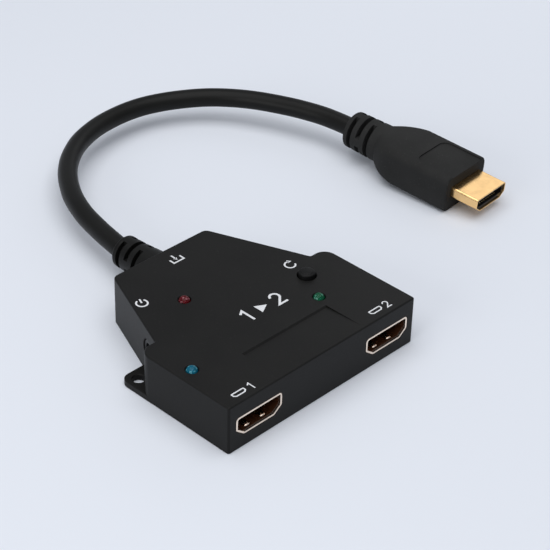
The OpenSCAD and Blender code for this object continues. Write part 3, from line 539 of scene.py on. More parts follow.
def raw_tube(name: str, rings: Sequence[Ring], place: Matrix) -> Piece:
    """Makes an object, still in millimetres, from a loft that runs back into its first ring.

    Args:
        name: The object's name.
        rings: The rings of the loft.
        place: Where the shape goes.

    Returns:
        The object.
    """
    mesh = bmesh.new()
    loft(mesh, [*rings, rings[0]], closed=False)
    return raw_object(name, mesh, place)


def raw_object(name: str, mesh: bmesh.types.BMesh, place: Matrix | None = None) -> Piece:
    """Makes an object, still in millimetres, from a mesh in the making.

    Args:
        name: The object's name.
        mesh: The mesh, which is used up.
        place: Where the shape goes.

    Returns:
        The object.
    """
    bmesh.ops.remove_doubles(mesh, verts=mesh.verts, dist=SAME_POINT)
    if place is not None:
        bmesh.ops.transform(mesh, matrix=place, verts=mesh.verts)
    bmesh.ops.recalc_face_normals(mesh, faces=mesh.faces)
    data = bpy.data.meshes.new(name)
    mesh.to_mesh(data)
    mesh.free()
    return new_object(name, data)


def new_object(name: str, data: bpy.types.ID) -> Piece:
    """Makes an object of its data and links it to the scene.

    Args:
        name: The object's name.
        data: Its mesh, curve, light or camera.

    Returns:
        The object.
    """
    made = bpy.data.objects.new(name, data)
    bpy.context.scene.collection.objects.link(made)
    return made


def discard(*pieces: Piece) -> None:
    """Removes objects that are used up, with their meshes."""
    for piece in pieces:
        spent = piece.data
        bpy.data.objects.remove(piece)
        bpy.data.meshes.remove(spent)


def freeze(piece: Piece) -> None:
    """Turns a piece's modifiers into plain mesh."""
    graph = bpy.context.evaluated_depsgraph_get()
    result = bpy.data.meshes.new_from_object(
        piece.evaluated_get(graph), preserve_all_data_layers=True, depsgraph=graph
    )
    spent = piece.data
    piece.modifiers.clear()
    piece.data = result
    bpy.data.meshes.remove(spent)


def combine(piece: Piece, tools: Sequence[Piece], operation: str = "DIFFERENCE") -> None:
    """Cuts tools out of a piece, or adds them to it, and removes them.

    Args:
        piece: The piece that stays.
        tools: The shapes that are used up.
        operation: The Boolean operation.
    """
    for tool in tools:
        modifier = piece.modifiers.new(tool.name, "BOOLEAN")
        modifier.operation = operation
        modifier.solver = "EXACT"
        modifier.object = tool
    freeze(piece)
    discard(*tools)


def soften(piece: Piece, width: float) -> None:
    """Merges edges too short to round, and rounds the sharp edges of a piece a little.

    Args:
        piece: The piece, still in millimetres.
        width: The width of the rounding.
    """
    mesh = bmesh.new()
    mesh.from_mesh(piece.data)
    bmesh.ops.remove_doubles(mesh, verts=mesh.verts, dist=width * MERGE_SHARE)
    mesh.to_mesh(piece.data)
    mesh.free()
    modifier = piece.modifiers.new("soft_edges", "BEVEL")
    modifier.width = width
    modifier.segments = SOFT_STEPS
    modifier.limit_method = "ANGLE"
    modifier.angle_limit = math.radians(SOFT_ANGLE)
    freeze(piece)


def settle(
    piece: Piece,
    finish: Finish,
    body: Body = Body.HOUSING,
    stands_for: Sequence[str] = (),
    slot: str = "",
    crease: float = 32.0,
) -> Piece:
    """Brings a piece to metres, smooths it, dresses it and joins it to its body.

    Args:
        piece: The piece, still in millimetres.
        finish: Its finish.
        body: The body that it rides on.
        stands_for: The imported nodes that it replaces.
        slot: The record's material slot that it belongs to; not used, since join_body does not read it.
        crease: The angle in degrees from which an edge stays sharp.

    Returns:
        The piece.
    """
    data = piece.data
    data.transform(Matrix.Scale(MM, 4))
    data.polygons.foreach_set("use_smooth", [True] * len(data.polygons))
    data.set_sharp_from_angle(angle=math.radians(crease))
    modifier = piece.modifiers.new("even_normals", "WEIGHTED_NORMAL")
    modifier.keep_sharp = True
    freeze(piece)
    piece.data.materials.clear()
    piece.data.materials.append(finish.material())
    join_body(piece, body, stands_for, slot)
    return piece


def join_body(piece: Piece, body: Body, stands_for: Sequence[str], slot: str) -> None:
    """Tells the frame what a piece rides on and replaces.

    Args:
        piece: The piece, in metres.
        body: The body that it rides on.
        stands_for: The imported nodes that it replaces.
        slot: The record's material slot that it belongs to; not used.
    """
    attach(piece, body.value)
    if stands_for:
        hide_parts(*stands_for)
    LOG.info("%s rides on %s", piece.name, body.value)


def dress(node: str, finish: Finish) -> None:
    """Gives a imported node, which keeps its shape, a finish.

    Args:
        node: The node's name.
        finish: The finish that it gets.
    """
    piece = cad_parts[node]
    for slot in piece.material_slots:
        slot.material = finish.material()
    LOG.info("%s keeps its shape", node)


# Repeated pieces


class RowPattern:
    """A Geometry Nodes tree that repeats one shape along a straight row."""

    def __init__(self, name: str) -> None:
        """Builds the tree with its named inputs."""
        self.tree = bpy.data.node_groups.new(name, "GeometryNodeTree")
        sockets = {
            "Geometry": "Geometry", "Shape": "Object", "Count": "Int", "Start": "Vector", "Step": "Vector",
            "Finish": "Material",
        }
        for label, kind in sockets.items():
            self.tree.interface.new_socket(label, in_out="INPUT", socket_type=f"NodeSocket{kind}")
        self.tree.interface.new_socket("Geometry", in_out="OUTPUT", socket_type="NodeSocketGeometry")
        kinds = {
            "entry": "NodeGroupInput", "line": "GeometryNodeMeshLine", "shape": "GeometryNodeObjectInfo",
            "spread": "GeometryNodeInstanceOnPoints", "real": "GeometryNodeRealizeInstances",
            "paint": "GeometryNodeSetMaterial", "leave": "NodeGroupOutput",
        }
        nodes = {label: self.tree.nodes.new(kind) for label, kind in kinds.items()}
        for source, out, target, into in (
            ("entry", "Count", "line", "Count"), ("entry", "Start", "line", "Start Location"),
            ("entry", "Step", "line", "Offset"), ("entry", "Shape", "shape", "Object"),
            ("line", "Mesh", "spread", "Points"), ("shape", "Geometry", "spread", "Instance"),
            ("spread", "Instances", "real", "Geometry"), ("real", "Geometry", "paint", "Geometry"),
            ("entry", "Finish", "paint", "Material"), ("paint", "Geometry", "leave", "Geometry"),
        ):
            self.tree.links.new(nodes[source].outputs[out], nodes[target].inputs[into])

    def row(
        self, name: str, shape: Piece, count: int, start: Vector, step: Vector, finish: Finish
    ) -> Piece:
        """Makes one row as a plain mesh, still in millimetres.

        Args:
            name: The row's name.
            shape: The shape that repeats.
            count: How many there are.
            start: The place of the first.
            step: The way from one to the next.
            finish: Their finish.

        Returns:
            The row.
        """
        host = new_object(name, bpy.data.meshes.new(name))
        modifier = host.modifiers.new("row", "NODES")
        modifier.node_group = self.tree
        values = {"Shape": shape, "Count": count, "Start": start, "Step": step, "Finish": finish.material()}
        for item in self.tree.interface.items_tree:
            if item.in_out == "INPUT" and item.name in values:
                modifier[item.identifier] = values[item.name]
        freeze(host)
        return host


def merge(name: str, parts: Sequence[Piece], place: Matrix | None = None) -> Piece:
    """Joins objects into one mesh and removes them.

    Args:
        name: The name of the result.
        parts: The objects, still in millimetres.
        place: Where the result goes.

    Returns:
        The joined object.
    """
    mesh = bmesh.new()
    for part in parts:
        mesh.from_mesh(part.data)
    discard(*parts)
    return raw_object(name, mesh, place)


# Sub-assemblies


@dataclass
class Housing:
    """The moulded top with its walls, ears, posts and openings."""

    width: float
    depth: float
    height: float
    block_depth: float = 30.8
    shoulder_step: float = 5.3
    neck_width: float = 31.8
    wall: float = 1.6
    roof: float = 1.6
    lip: float = 0.8
    floor: float = 1.2
    front_radius: float = 0.6
    shoulder_radius: float = 3.5
    inner_radius: float = 0.5
    neck_radius: float = 2.0
    edge: float = 0.45
    hole_edge: float = 0.18
    ear_thickness: float = 1.7
    ear_length: float = 6.9
    ear_radius: float = 2.5
    ear_hole: float = 3.2
    ear_hole_in: float = 3.0
    post: float = 4.6
    post_bore: float = 2.1
    post_foot: float = 3.7
    port_inset: float = 10.0
    port_height: float = 6.35
    port_gap: float = 0.55
    lamp_hole: float = 3.3
    button_hole: float = 4.9
    inlet_along: float = 4.9
    inlet_height: float = 7.3
    inlet_hole: float = 6.0
    relief_hole: float = 8.0
    relief_height: float = 7.3
    recess_width: float = 29.0
    recess_length: float = 11.6
    recess_depth: float = 0.4
    recess_slope: float = 0.45
    recess_in: float = 1.4
    recess_x: float = -0.8

    @property
    def front(self) -> float:
        """The depth of the port face."""
        return -self.depth / 2

    @property
    def back(self) -> float:
        """The depth of the cable face."""
        return self.depth / 2

    @property
    def block_back(self) -> float:
        """The depth at which the wide block ends."""
        return self.front + self.block_depth

    @property
    def shoulder(self) -> float:
        """Half the width of the tapered part where it leaves the block."""
        return self.width / 2 - self.shoulder_step

    @property
    def ceiling(self) -> float:
        """The height of the underside of the top."""
        return self.height - self.roof

    @property
    def port_x(self) -> float:
        """How far each socket is from the middle."""
        return self.width / 2 - self.port_inset

    @property
    def slant(self) -> Vector:
        """The way along the left slanted wall, towards the cable face."""
        run = Vector((self.shoulder - self.neck_width / 2, self.back - self.block_back))
        return run.normalized()

    @property
    def inlet_place(self) -> Matrix:
        """The inlet's frame: its +Y leaves the slanted wall."""
        spot = Vector((-self.shoulder, self.block_back)) + self.slant * self.inlet_along
        out = Vector((-self.slant.y, self.slant.x))
        angle = math.atan2(out.y, out.x) - math.pi / 2
        return Matrix.Translation((spot.x, spot.y, self.inlet_height)) @ Matrix.Rotation(angle, 4, "Z")

    def taper_half(self, y: float) -> float:
        """Gives half the width of the tapered part at a depth."""
        share = (y - self.block_back) / (self.back - self.block_back)
        return self.shoulder + (self.neck_width / 2 - self.shoulder) * share

    def outline(self, inset: float) -> list[Vector]:
        """Gives the plan of the walls, moved in.

        Args:
            inset: How far it moves in.

        Returns:
            The outline's points.
        """
        half, neck = self.width / 2, self.neck_width / 2
        corners = [
            (-half, self.front), (half, self.front), (half, self.block_back), (self.shoulder, self.block_back),
            (neck, self.back), (-neck, self.back), (-self.shoulder, self.block_back), (-half, self.block_back),
        ]
        radii = [
            self.front_radius, self.front_radius, self.shoulder_radius, self.inner_radius,
            self.neck_radius, self.neck_radius, self.inner_radius, self.shoulder_radius,
        ]
        return rounded_ring(corners, radii, inset)

    def shell(self) -> Piece:
        """Builds the walls and the top, open below, with a rounded top edge."""
        steps = 5
        turns = [math.radians(90 * k / steps) for k in range(steps + 1)]
        rings = [
            flat_ring(
                self.outline(self.edge * (1 - math.sin(turn_))), self.height - self.edge * (1 - math.cos(turn_))
            )
            for turn_ in turns
        ]
        rings += [
            flat_ring(self.outline(0), self.hole_edge),
            flat_ring(self.outline(self.hole_edge), 0),
            flat_ring(self.outline(self.lip), 0),
            flat_ring(self.outline(self.lip), self.floor),
            flat_ring(self.outline(self.wall), self.floor),
            flat_ring(self.outline(self.wall), self.ceiling),
        ]
        return raw_piece("housing_top", rings)

    def ears(self) -> list[Piece]:
        """Builds the two screw ears, which run into the walls."""
        made = []
        half, sunk = self.width / 2 - SHY, self.lip / 2
        front, back = self.block_back - self.shoulder_radius - self.lip, self.block_back + self.ear_length
        plan = [
            ((half - sunk, front), LEAST_RADIUS), ((half, front), LEAST_RADIUS), ((half, back), self.ear_radius),
            ((self.taper_half(back) - sunk, back), LEAST_RADIUS),
            ((self.shoulder - sunk, self.block_back - sunk), LEAST_RADIUS),
            ((half - sunk, self.block_back - sunk), self.shoulder_radius - sunk),
        ]
        levels = [
            (self.hole_edge / 2, SHY), (0, self.hole_edge / 2),
            (0, self.ear_thickness - self.hole_edge), (self.hole_edge, self.ear_thickness),
        ]
        for side in (-1, 1):
            corners = [(x * side, y) for (x, y), _ in plan[::side]]
            radii = [radius for _, radius in plan[::side]]
            rings = [flat_ring(rounded_ring(corners, radii, inset), z) for inset, z in levels]
            made.append(raw_piece(f"ear_{side}", rings))
        return made

    def posts(self, places: Sequence[Vector]) -> list[Piece]:
        """Builds the screw posts under the top.

        Args:
            places: The screws' places.

        Returns:
            The posts, with their bores.
        """
        bore, post, top = self.post_bore / 2, self.post / 2, self.ceiling + self.roof / 2
        profile = [
            (bore, top - OVER), (bore, self.post_foot), (post, self.post_foot), (post, top),
            (AXIS_RADIUS, top), (AXIS_RADIUS, top - OVER),
        ]
        rings = turn(profile, Axis.UP, 32)
        return [
            raw_tube(f"post_{k}", rings, Matrix.Translation(spot.to_3d())) for k, spot in enumerate(places)
        ]

    def hole(self, name: str, diameter: float, place: Matrix, bottom: float, top: float) -> Piece:
        """Makes a round cutter with a broken edge at its upper end.

        Args:
            name: The cutter's name.
            diameter: The hole's diameter.
            place: The frame whose +Z is the hole's way out.
            bottom: Its lower end.
            top: The face that it leaves through.

        Returns:
            The cutter.
        """
        r, e = diameter / 2, self.hole_edge
        profile = [(r, bottom), (r, top - e), (r + e + OVER, top + OVER)]
        return raw_piece(name, turn(profile, Axis.UP, 48), place)

    def port_cutter(self, name: str, x: float, mouth: "MouthOutline") -> Piece:
        """Makes the cutter of one socket opening, wider at the port face.

        Args:
            name: The cutter's name.
            x: The opening's place.
            mouth: The socket's mouth.

        Returns:
            The cutter.
        """
        e = self.hole_edge
        stations = [
            (self.front - OVER, self.port_gap + e + OVER), (self.front + e, self.port_gap),
            (self.front + self.wall + OVER, self.port_gap),
        ]
        rings = [deep_ring(mouth.ring(grow), y) for y, grow in stations]
        return raw_piece(name, rings, Matrix.Translation((x, 0, self.port_height)))

    def recess_cutter(self) -> Piece:
        """Makes the wedge that sinks the label recess, deepest at its back edge."""
        y0 = self.front + self.recess_in
        y1 = y0 + self.recess_length
        profile = [(y0, 0), (y1 - self.recess_slope, -self.recess_depth), (y1, 0), (y1, OVER), (y0, OVER)]
        x0 = self.recess_x - self.recess_width / 2
        rings = [
            [Vector((x, y, self.height + z)) for y, z in profile] for x in (x0, x0 + self.recess_width)
        ]
        return raw_piece("recess", rings)

    def build(
        self, mouth: "MouthOutline", lamps: Sequence[Vector], button: Vector, screws: Sequence[Vector]
    ) -> Piece:
        """Builds the whole top.

        Args:
            mouth: The sockets' mouth.
            lamps: The lamps' places on the top.
            button: The reset button's place on the top.
            screws: The screws' places.

        Returns:
            The settled piece.
        """
        top = self.shell()
        combine(top, [*self.ears(), *self.posts(screws)], "UNION")
        ear_x, ear_y = self.width / 2 - self.ear_hole_in, self.block_back + self.ear_length / 2
        outward = Matrix.Rotation(-math.pi / 2, 4, "X")
        relief = Matrix.Translation((0, self.back, self.relief_height))
        under, inner = self.ceiling - OVER, -self.wall - OVER
        holes = [
            (name, self.ear_hole, Matrix.Translation((x, ear_y, 0)), -OVER, self.ear_thickness)
            for name, x in (("ear_hole_-1", -ear_x), ("ear_hole_1", ear_x))
        ]
        holes += [
            (f"lamp_hole_{k}", self.lamp_hole, Matrix.Translation(spot.to_3d()), under, self.height)
            for k, spot in enumerate(lamps)
        ]
        holes += [
            ("button_hole", self.button_hole, Matrix.Translation(button.to_3d()), under, self.height),
            ("inlet_hole", self.inlet_hole, self.inlet_place @ outward, inner, 0),
            ("relief_hole", self.relief_hole, relief @ outward, inner, 0),
        ]
        cutters = [self.port_cutter(f"port_{side}", side * self.port_x, mouth) for side in (-1, 1)]
        cutters += [self.hole(*hole) for hole in holes]
        cutters.append(self.recess_cutter())
        combine(top, cutters)
        return settle(top, Palette.HOUSING, stands_for=["top_housing"], slot="housing")


@dataclass
class MouthOutline:
    """The outline of a socket's mouth or a plug's shell: wide above, narrow below."""

    width: float
    height: float
    waist: float
    side: float
    radius: float

    def ring(self, grow: float, steps: int = 5) -> list[Vector]:
        """Gives the outline in x and z.

        Args:
            grow: How far it moves out.
            steps: The steps of each corner.

        Returns:
            The outline's points.
        """
        w, h, n = self.width / 2, self.height / 2, self.waist / 2
        corners = [(-n, -h), (n, -h), (w, h - self.side), (w, h), (-w, h), (-w, h - self.side)]
        return rounded_ring(corners, [self.radius] * len(corners), -grow, steps)


@dataclass
class DrawnShell:
    """A thin metal sleeve along +Y with a flat lip round its mouth."""

    outline: MouthOutline
    sheet: float
    inside: float
    flare: float = 0.0
    edge: float = 0.06

    def build(self, name: str, front: float, back: float, place: Matrix) -> Piece:
        """Makes the sleeve.

        Args:
            name: The object's name.
            front: The depth of the lip.
            back: The depth of the far end.
            place: The sleeve's frame.

        Returns:
            The sleeve, still in millimetres.
        """
        outside, e = self.inside + self.sheet, self.edge
        rim = outside + self.flare
        stations = [
            (outside, back), (outside, front + 2 * self.sheet), (rim, front + self.sheet), (rim, front + e),
            (rim - e, front), (self.inside + e, front), (self.inside, front + e), (self.inside, back),
        ]
        rings = [deep_ring(self.outline.ring(grow, 8), y) for grow, y in stations]
        return raw_tube(name, rings, place)


@dataclass
class FlexSlots:
    """Slots cut into a relief or boot from opposite sides and turned in turn."""

    width: float = 1.4
    pitch: float = 3.1
    first: float = 1.5
    rib: float = 2.6
    core: float = 3.1
    count: int = 3
    reach: float = 8.0

    def cutters(self, end: float, place: Matrix) -> list[Piece]:
        """Makes the cutters of one relief.

        Args:
            end: The depth of the relief's end at the lead.
            place: The relief's frame, with its axis along +Y.

        Returns:
            The cutters.
        """
        made = []
        outer = math.acos(self.rib / 2 / self.reach)
        inner = math.acos(self.rib / 2 / self.core)
        steps = 24
        ring = [self._point(self.reach, outer * (2 * k / steps - 1)) for k in range(steps + 1)]
        ring += [self._point(self.core, inner * (1 - 2 * k / steps)) for k in range(steps + 1)]
        for k in range(self.count):
            y1 = end - self.first - k * self.pitch
            rings = [deep_ring(ring, y) for y in (y1 - self.width, y1)]
            for half in (0, 1):
                spin = Matrix.Rotation(math.pi * half + math.pi / 2 * (k % 2), 4, "Y")
                made.append(raw_piece(f"slot_{k}_{half}", rings, place @ spin))
        return made

    @staticmethod
    def _point(radius: float, angle: float) -> Vector:
        """Gives a point of the slot's outline."""
        return Vector((radius * math.cos(angle), radius * math.sin(angle)))


@dataclass
class StrainRelief:
    """The flexible sleeve where the lead leaves the housing."""

    wall_face: float
    height: float = 7.3
    wall: float = 1.6
    length: float = 13.9
    tip: float = 9.0
    root: float = 10.5
    waist: float = 7.8
    flange: float = 9.0
    flange_depth: float = 1.6
    edge: float = 0.5
    slots: FlexSlots = field(default_factory=FlexSlots)

    @property
    def end(self) -> Vector:
        """The point where the lead leaves the relief."""
        return Vector((0, self.wall_face + self.length, self.height))

    def build(self) -> Piece:
        """Builds the sleeve with its slots.

        Returns:
            The settled piece.
        """
        face, tip = self.wall_face, self.end.y
        e = self.edge
        profile = [
            (self.flange / 2, face - self.wall - self.flange_depth), (self.flange / 2, face - self.wall),
            (self.waist / 2, face - self.wall), (self.waist / 2, face), (self.root / 2 - 0.15, face),
            (self.root / 2, face + 0.15), (self.tip / 2 + 0.1, tip - 5.4),
            *arc_profile((self.tip / 2 - e, tip - e), e, 0, 90, 4),
        ]
        place = Matrix.Translation((0, 0, self.height))
        sleeve = raw_piece("strain_relief_sleeve", turn(profile, Axis.DEPTH), place)
        combine(sleeve, self.slots.cutters(tip, place))
        soften(sleeve, 0.1)
        return settle(sleeve, Palette.JACKET, stands_for=["strain_relief"], slot="jacket")


@dataclass
class Plug:
    """The plug on the lead's far end, in the pose of the table."""

    front: Vector = field(default_factory=lambda: Vector((93.5, 4.7, 5.6)))
    turn: float = 4.4
    rise: float = 3.9
    grip_width: float = 18.8
    grip_thickness: float = 11.2
    grip_radius: float = 2.2
    grip_length: float = 19.5
    shoulder_length: float = 8.8
    shoulder_bow: float = 2.6
    edge: float = 0.6
    panel_depth: float = 0.4
    panel_length: float = 13.0
    panel_side: float = 2.4
    panel_radius: float = 2.6
    boot_root: float = 11.6
    boot_tip: float = 11.0
    boot_length: float = 11.7
    shell_out: float = 9.0
    shell_held: float = 5.0
    sheet: float = 0.3
    recess: float = 0.5
    slot_depth: float = 7.4
    slot_height: float = 2.0
    contact_in: float = 0.9
    slots: FlexSlots = field(default_factory=FlexSlots)
    outline: MouthOutline = field(default_factory=lambda: MouthOutline(13.9, 4.45, 9.7, 2.9, 0.7))

    @property
    def place(self) -> Matrix:
        """The plug's frame: its front face in the middle and its lead along +Y."""
        spin = Matrix.Rotation(math.radians(self.turn), 4, "Z")
        tilt = Matrix.Rotation(math.radians(self.rise), 4, "X")
        return Matrix.Translation(self.front) @ spin @ tilt

    @property
    def boot_end(self) -> float:
        """How far the boot's end is behind the front face."""
        return self.grip_length + self.shoulder_length + self.boot_length

    @property
    def lead_end(self) -> Vector:
        """The point where the lead enters the boot."""
        return self.place @ Vector((0, self.boot_end, 0))

    def section(self, y: float, half_width: float, half_height: float, radius: float) -> Ring:
        """Gives one cross-section of the grip.

        Args:
            y: How far it is behind the front face.
            half_width: Half its width.
            half_height: Half its height.
            radius: Its corner radius.

        Returns:
            The ring.
        """
        corners = box_corners(-half_width, -half_height, half_width, half_height)
        limit = min(half_width, half_height) * 0.995
        return deep_ring(rounded_ring(corners, [min(radius, limit)] * 4), y)

    def grip(self) -> Piece:
        """Builds the grip, its shoulders and its boot in one loft.

        Returns:
            The settled piece.
        """
        w, t, r, e = self.grip_width / 2, self.grip_thickness / 2, self.grip_radius, self.edge
        rings = []
        for k in range(5):
            angle = math.radians(90 * k / 4)
            drawn = e * (1 - math.sin(angle))
            rings.append(self.section(e * (1 - math.cos(angle)), w - drawn, t - drawn, r))
        boot = self.boot_root / 2
        steps = 10
        for k in range(steps + 1):
            share = k / steps
            y = self.grip_length + self.shoulder_length * share
            fall = share**self.shoulder_bow
            rings.append(self.section(y, w - (w - boot) * fall, t - (t - boot) * fall, r + (boot - r) * share))
        tip = self.boot_tip / 2
        for radius, y in arc_profile((tip - e, self.boot_end - e), e, 0, 90, 4):
            rings.append(self.section(y, radius, radius, radius))
        grip = raw_piece("plug_body", rings, self.place)
        panel = box_corners(-w + self.panel_side, -OVER, w - self.panel_side, self.panel_length)
        radii = [LEAST_RADIUS, LEAST_RADIUS, self.panel_radius, self.panel_radius]
        flat = rounded_ring(panel, radii)
        cutters = [
            raw_piece("panel", [flat_ring(flat, t - self.panel_depth), flat_ring(flat, t + OVER)], self.place),
            raw_piece(
                "socket", [deep_ring(self.outline.ring(0.05), y) for y in (-OVER, self.shell_held)], self.place
            ),
            *self.slots.cutters(self.boot_end, self.place),
        ]
        combine(grip, cutters)
        soften(grip, 0.12)
        return settle(grip, Palette.GRIP, stands_for=["plug_grip"], slot="jacket")

    def shell(self) -> Piece:
        """Builds the drawn metal shell with its flat lip.

        Returns:
            The settled piece.
        """
        drawn = DrawnShell(self.outline, self.sheet, -self.sheet)
        shell = drawn.build("plug_sleeve", -self.shell_out, self.shell_held, self.place)
        return settle(shell, Palette.GILT, stands_for=["plug_shell"], slot="gilt")

    def contacts(self, pattern: RowPattern, contact: "Contact") -> Piece:
        """Builds the two rows of contacts in the slot.

        Args:
            pattern: The tree that repeats them.
            contact: One contact.

        Returns:
            The settled piece.
        """
        y = -self.shell_out + self.recess + self.contact_in
        length = self.slot_depth - self.contact_in
        blade = contact.shape("plug_blade", length)
        rows = [
            contact.row(pattern, f"plug_row_{count}", blade, count, y, z)
            for count, z in ((10, self.slot_height / 2 - contact.thickness), (9, -self.slot_height / 2))
        ]
        discard(blade)
        piece = merge("plug_blades", rows, self.place)
        return settle(piece, Palette.CONTACT, stands_for=["plug_contacts"], slot="contact_gold")


@dataclass
class Contact:
    """One flat contact with rounded ends."""

    width: float = 0.45
    thickness: float = 0.12
    pitch: float = 1.0

    def shape(self, name: str, length: float) -> Piece:
        """Makes the contact on its own, along +Y.

        Args:
            name: The object's name.
            length: The contact's length.

        Returns:
            The contact, still in millimetres.
        """
        w, e = self.width / 2, 0.04
        corners = box_corners(-w, 0, w, length)
        rings = [
            flat_ring(rounded_ring(corners, [w * 0.9] * 4, inset, 3), z)
            for inset, z in ((0, 0), (0, self.thickness - e), (e, self.thickness))
        ]
        return raw_piece(name, rings)

    def row(
        self, pattern: RowPattern, name: str, shape: Piece, count: int, y: float, z: float
    ) -> Piece:
        """Makes a row of contacts that is centred across."""
        start = Vector((-(count - 1) / 2 * self.pitch, y, z))
        return pattern.row(name, shape, count, start, Vector((self.pitch, 0, 0)), Palette.CONTACT)


@dataclass
class SpringFinger:
    """One spring finger of a socket: a leaf that rises to a polished crest behind a round nose."""

    width: float = 1.8
    rise: float = 0.45
    nose: float = 0.9
    length: float = 4.0
    sheet: float = 0.35

    def shape(self, name: str, up: int) -> Piece:
        """Makes the finger on its own, along +Y, with its crest at the origin.

        Args:
            name: The object's name.
            up: 1 for a finger in the floor and -1 for one in the roof.

        Returns:
            The finger, still in millimetres.
        """
        half = self.width / 2
        turns = [math.radians(15 + 75 * k / 6) for k in range(7)]
        stations = [(-self.nose * math.cos(a), math.sin(a)) for a in turns]
        stations += [(self.length * k / 4, 1 - 0.94 * (k / 4) ** 1.5) for k in range(1, 5)]
        rings = []
        for k, (y, share) in enumerate(stations):
            wide = half * min(1.0, share + 0.2) if k < len(turns) else half
            crown = [
                Vector((wide * math.cos(a), self.rise * share * math.sin(a)))
                for a in (math.pi * j / 12 for j in range(13))
            ]
            rings.append(deep_ring([*crown, Vector((-wide, -self.sheet)), Vector((wide, -self.sheet))], y))
        return raw_piece(name, rings, Matrix.Scale(up, 4, (0, 0, 1)))


@dataclass
class OutputSocket:
    """One output socket: a drawn shell with springs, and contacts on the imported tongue."""

    name: str
    x: float
    front: float
    mouth: MouthOutline
    height: float = 6.35
    board_top: float = 3.7
    length: float = 11.6
    sheet: float = 0.35
    flare: float = 0.15
    tongue_in: float = 2.6
    contact_in: float = 0.9
    tongue: float = 1.4
    block: float = 3.2
    tail: float = 1.6
    finger_in: float = 2.1
    finger_pitch: float = 5.2
    finger_gap: float = 0.13
    leg_in: float = 2.6
    leg_length: float = 1.6
    leg_foot: float = 2.2
    leg_top: float = 0.8

    @property
    def place(self) -> Matrix:
        """The frame in the middle of the mouth."""
        return Matrix.Translation((self.x, self.front, self.height))

    def shell(self, finger: SpringFinger) -> Piece:
        """Builds the shell with its windows and legs.

        Args:
            finger: One spring finger, which stands in each window.

        Returns:
            The settled piece.
        """
        drawn = DrawnShell(self.mouth, self.sheet, 0.0, self.flare)
        shell = drawn.build(f"{self.name}_sleeve", 0.0, self.length, self.place)
        floor, wide = self.mouth.height / 2, finger.width / 2 + self.finger_gap
        foot = (self.leg_foot - self.height, self.leg_top)
        legs = [
            self.block_piece(f"leg_{x}_{y}", (x, self.sheet), (y, self.leg_length), foot)
            for x in (-(self.mouth.width + self.sheet) / 2, (self.mouth.width + self.sheet) / 2)
            for y in (self.leg_in, self.length - self.leg_in)
        ]
        combine(shell, legs, "UNION")
        start = self.finger_in - finger.nose - self.finger_gap
        stop = self.finger_in + finger.length - self.sheet
        windows = [
            self.block_piece(
                f"window_{x}_{z}", (x, 2 * wide), ((start + stop) / 2, stop - start), (z - OVER, z + OVER)
            )
            for x in (-self.finger_pitch / 2, self.finger_pitch / 2)
            for z in (-floor, floor)
        ]
        combine(shell, windows)
        return settle(shell, Palette.SOCKET, stands_for=[f"{self.name}_shell"], slot="gilt")

    def block_piece(
        self, name: str, x: tuple[float, float], y: tuple[float, float], z: tuple[float, float]
    ) -> Piece:
        """Makes a plain block in the mouth's frame.

        Args:
            name: The object's name.
            x: Its middle and length across the mouth.
            y: Its middle and length behind the port face.
            z: Its ends above the mouth's middle.

        Returns:
            The block, still in millimetres.
        """
        half = (x[1] / 2, y[1] / 2)
        corners = box_corners(x[0] - half[0], y[0] - half[1], x[0] + half[0], y[0] + half[1])
        plan = [Vector(corner) for corner in corners]
        return raw_piece(name, [flat_ring(plan, height) for height in z], self.place)

    def springs(self, pattern: RowPattern, finger: SpringFinger) -> Piece:
        """Builds the spring fingers in the floor and the roof.

        Args:
            pattern: The tree that repeats them.
            finger: One finger.

        Returns:
            The settled piece.
        """
        rows = []
        for up in (1, -1):
            shape = finger.shape("one_finger", up)
            start = Vector((-self.finger_pitch / 2, self.finger_in, -up * self.mouth.height / 2))
            step = Vector((self.finger_pitch, 0, 0))
            rows.append(pattern.row(f"{self.name}_fingers_{up}", shape, 2, start, step, Palette.SPRING))
            discard(shape)
        return settle(merge(f"{self.name}_springs", rows, self.place), Palette.SPRING, slot="gilt")

    def contacts(self, pattern: RowPattern, contact: Contact) -> Piece:
        """Builds the contacts on the tongue and their feet on the board.

        Args:
            pattern: The tree that repeats the contacts.
            contact: One contact.

        Returns:
            The settled piece.
        """
        start_y = self.tongue_in + self.contact_in
        blade = contact.shape("socket_blade", self.length - self.block - start_y)
        foot = contact.shape("socket_foot", self.tail)
        plans = [
            (blade, 10, start_y, self.tongue / 2),
            (blade, 9, start_y, -self.tongue / 2 - contact.thickness),
            (foot, 10, self.length, self.board_top - self.height),
        ]
        rows = [contact.row(pattern, f"{self.name}_row_{k}", *plan) for k, plan in enumerate(plans)]
        discard(blade, foot)
        piece = merge(f"{self.name}_blades", rows, self.place)
        return settle(piece, Palette.CONTACT, stands_for=[f"{self.name}_contacts"], slot="contact_gold")

    def build(self, pattern: RowPattern, contact: Contact, finger: SpringFinger) -> list[Piece]:
        """Builds the socket's pieces and dresses its imported tongue."""
        dress(f"{self.name}_insulator", Palette.MOULDING)
        return [self.shell(finger), self.springs(pattern, finger), self.contacts(pattern, contact)]


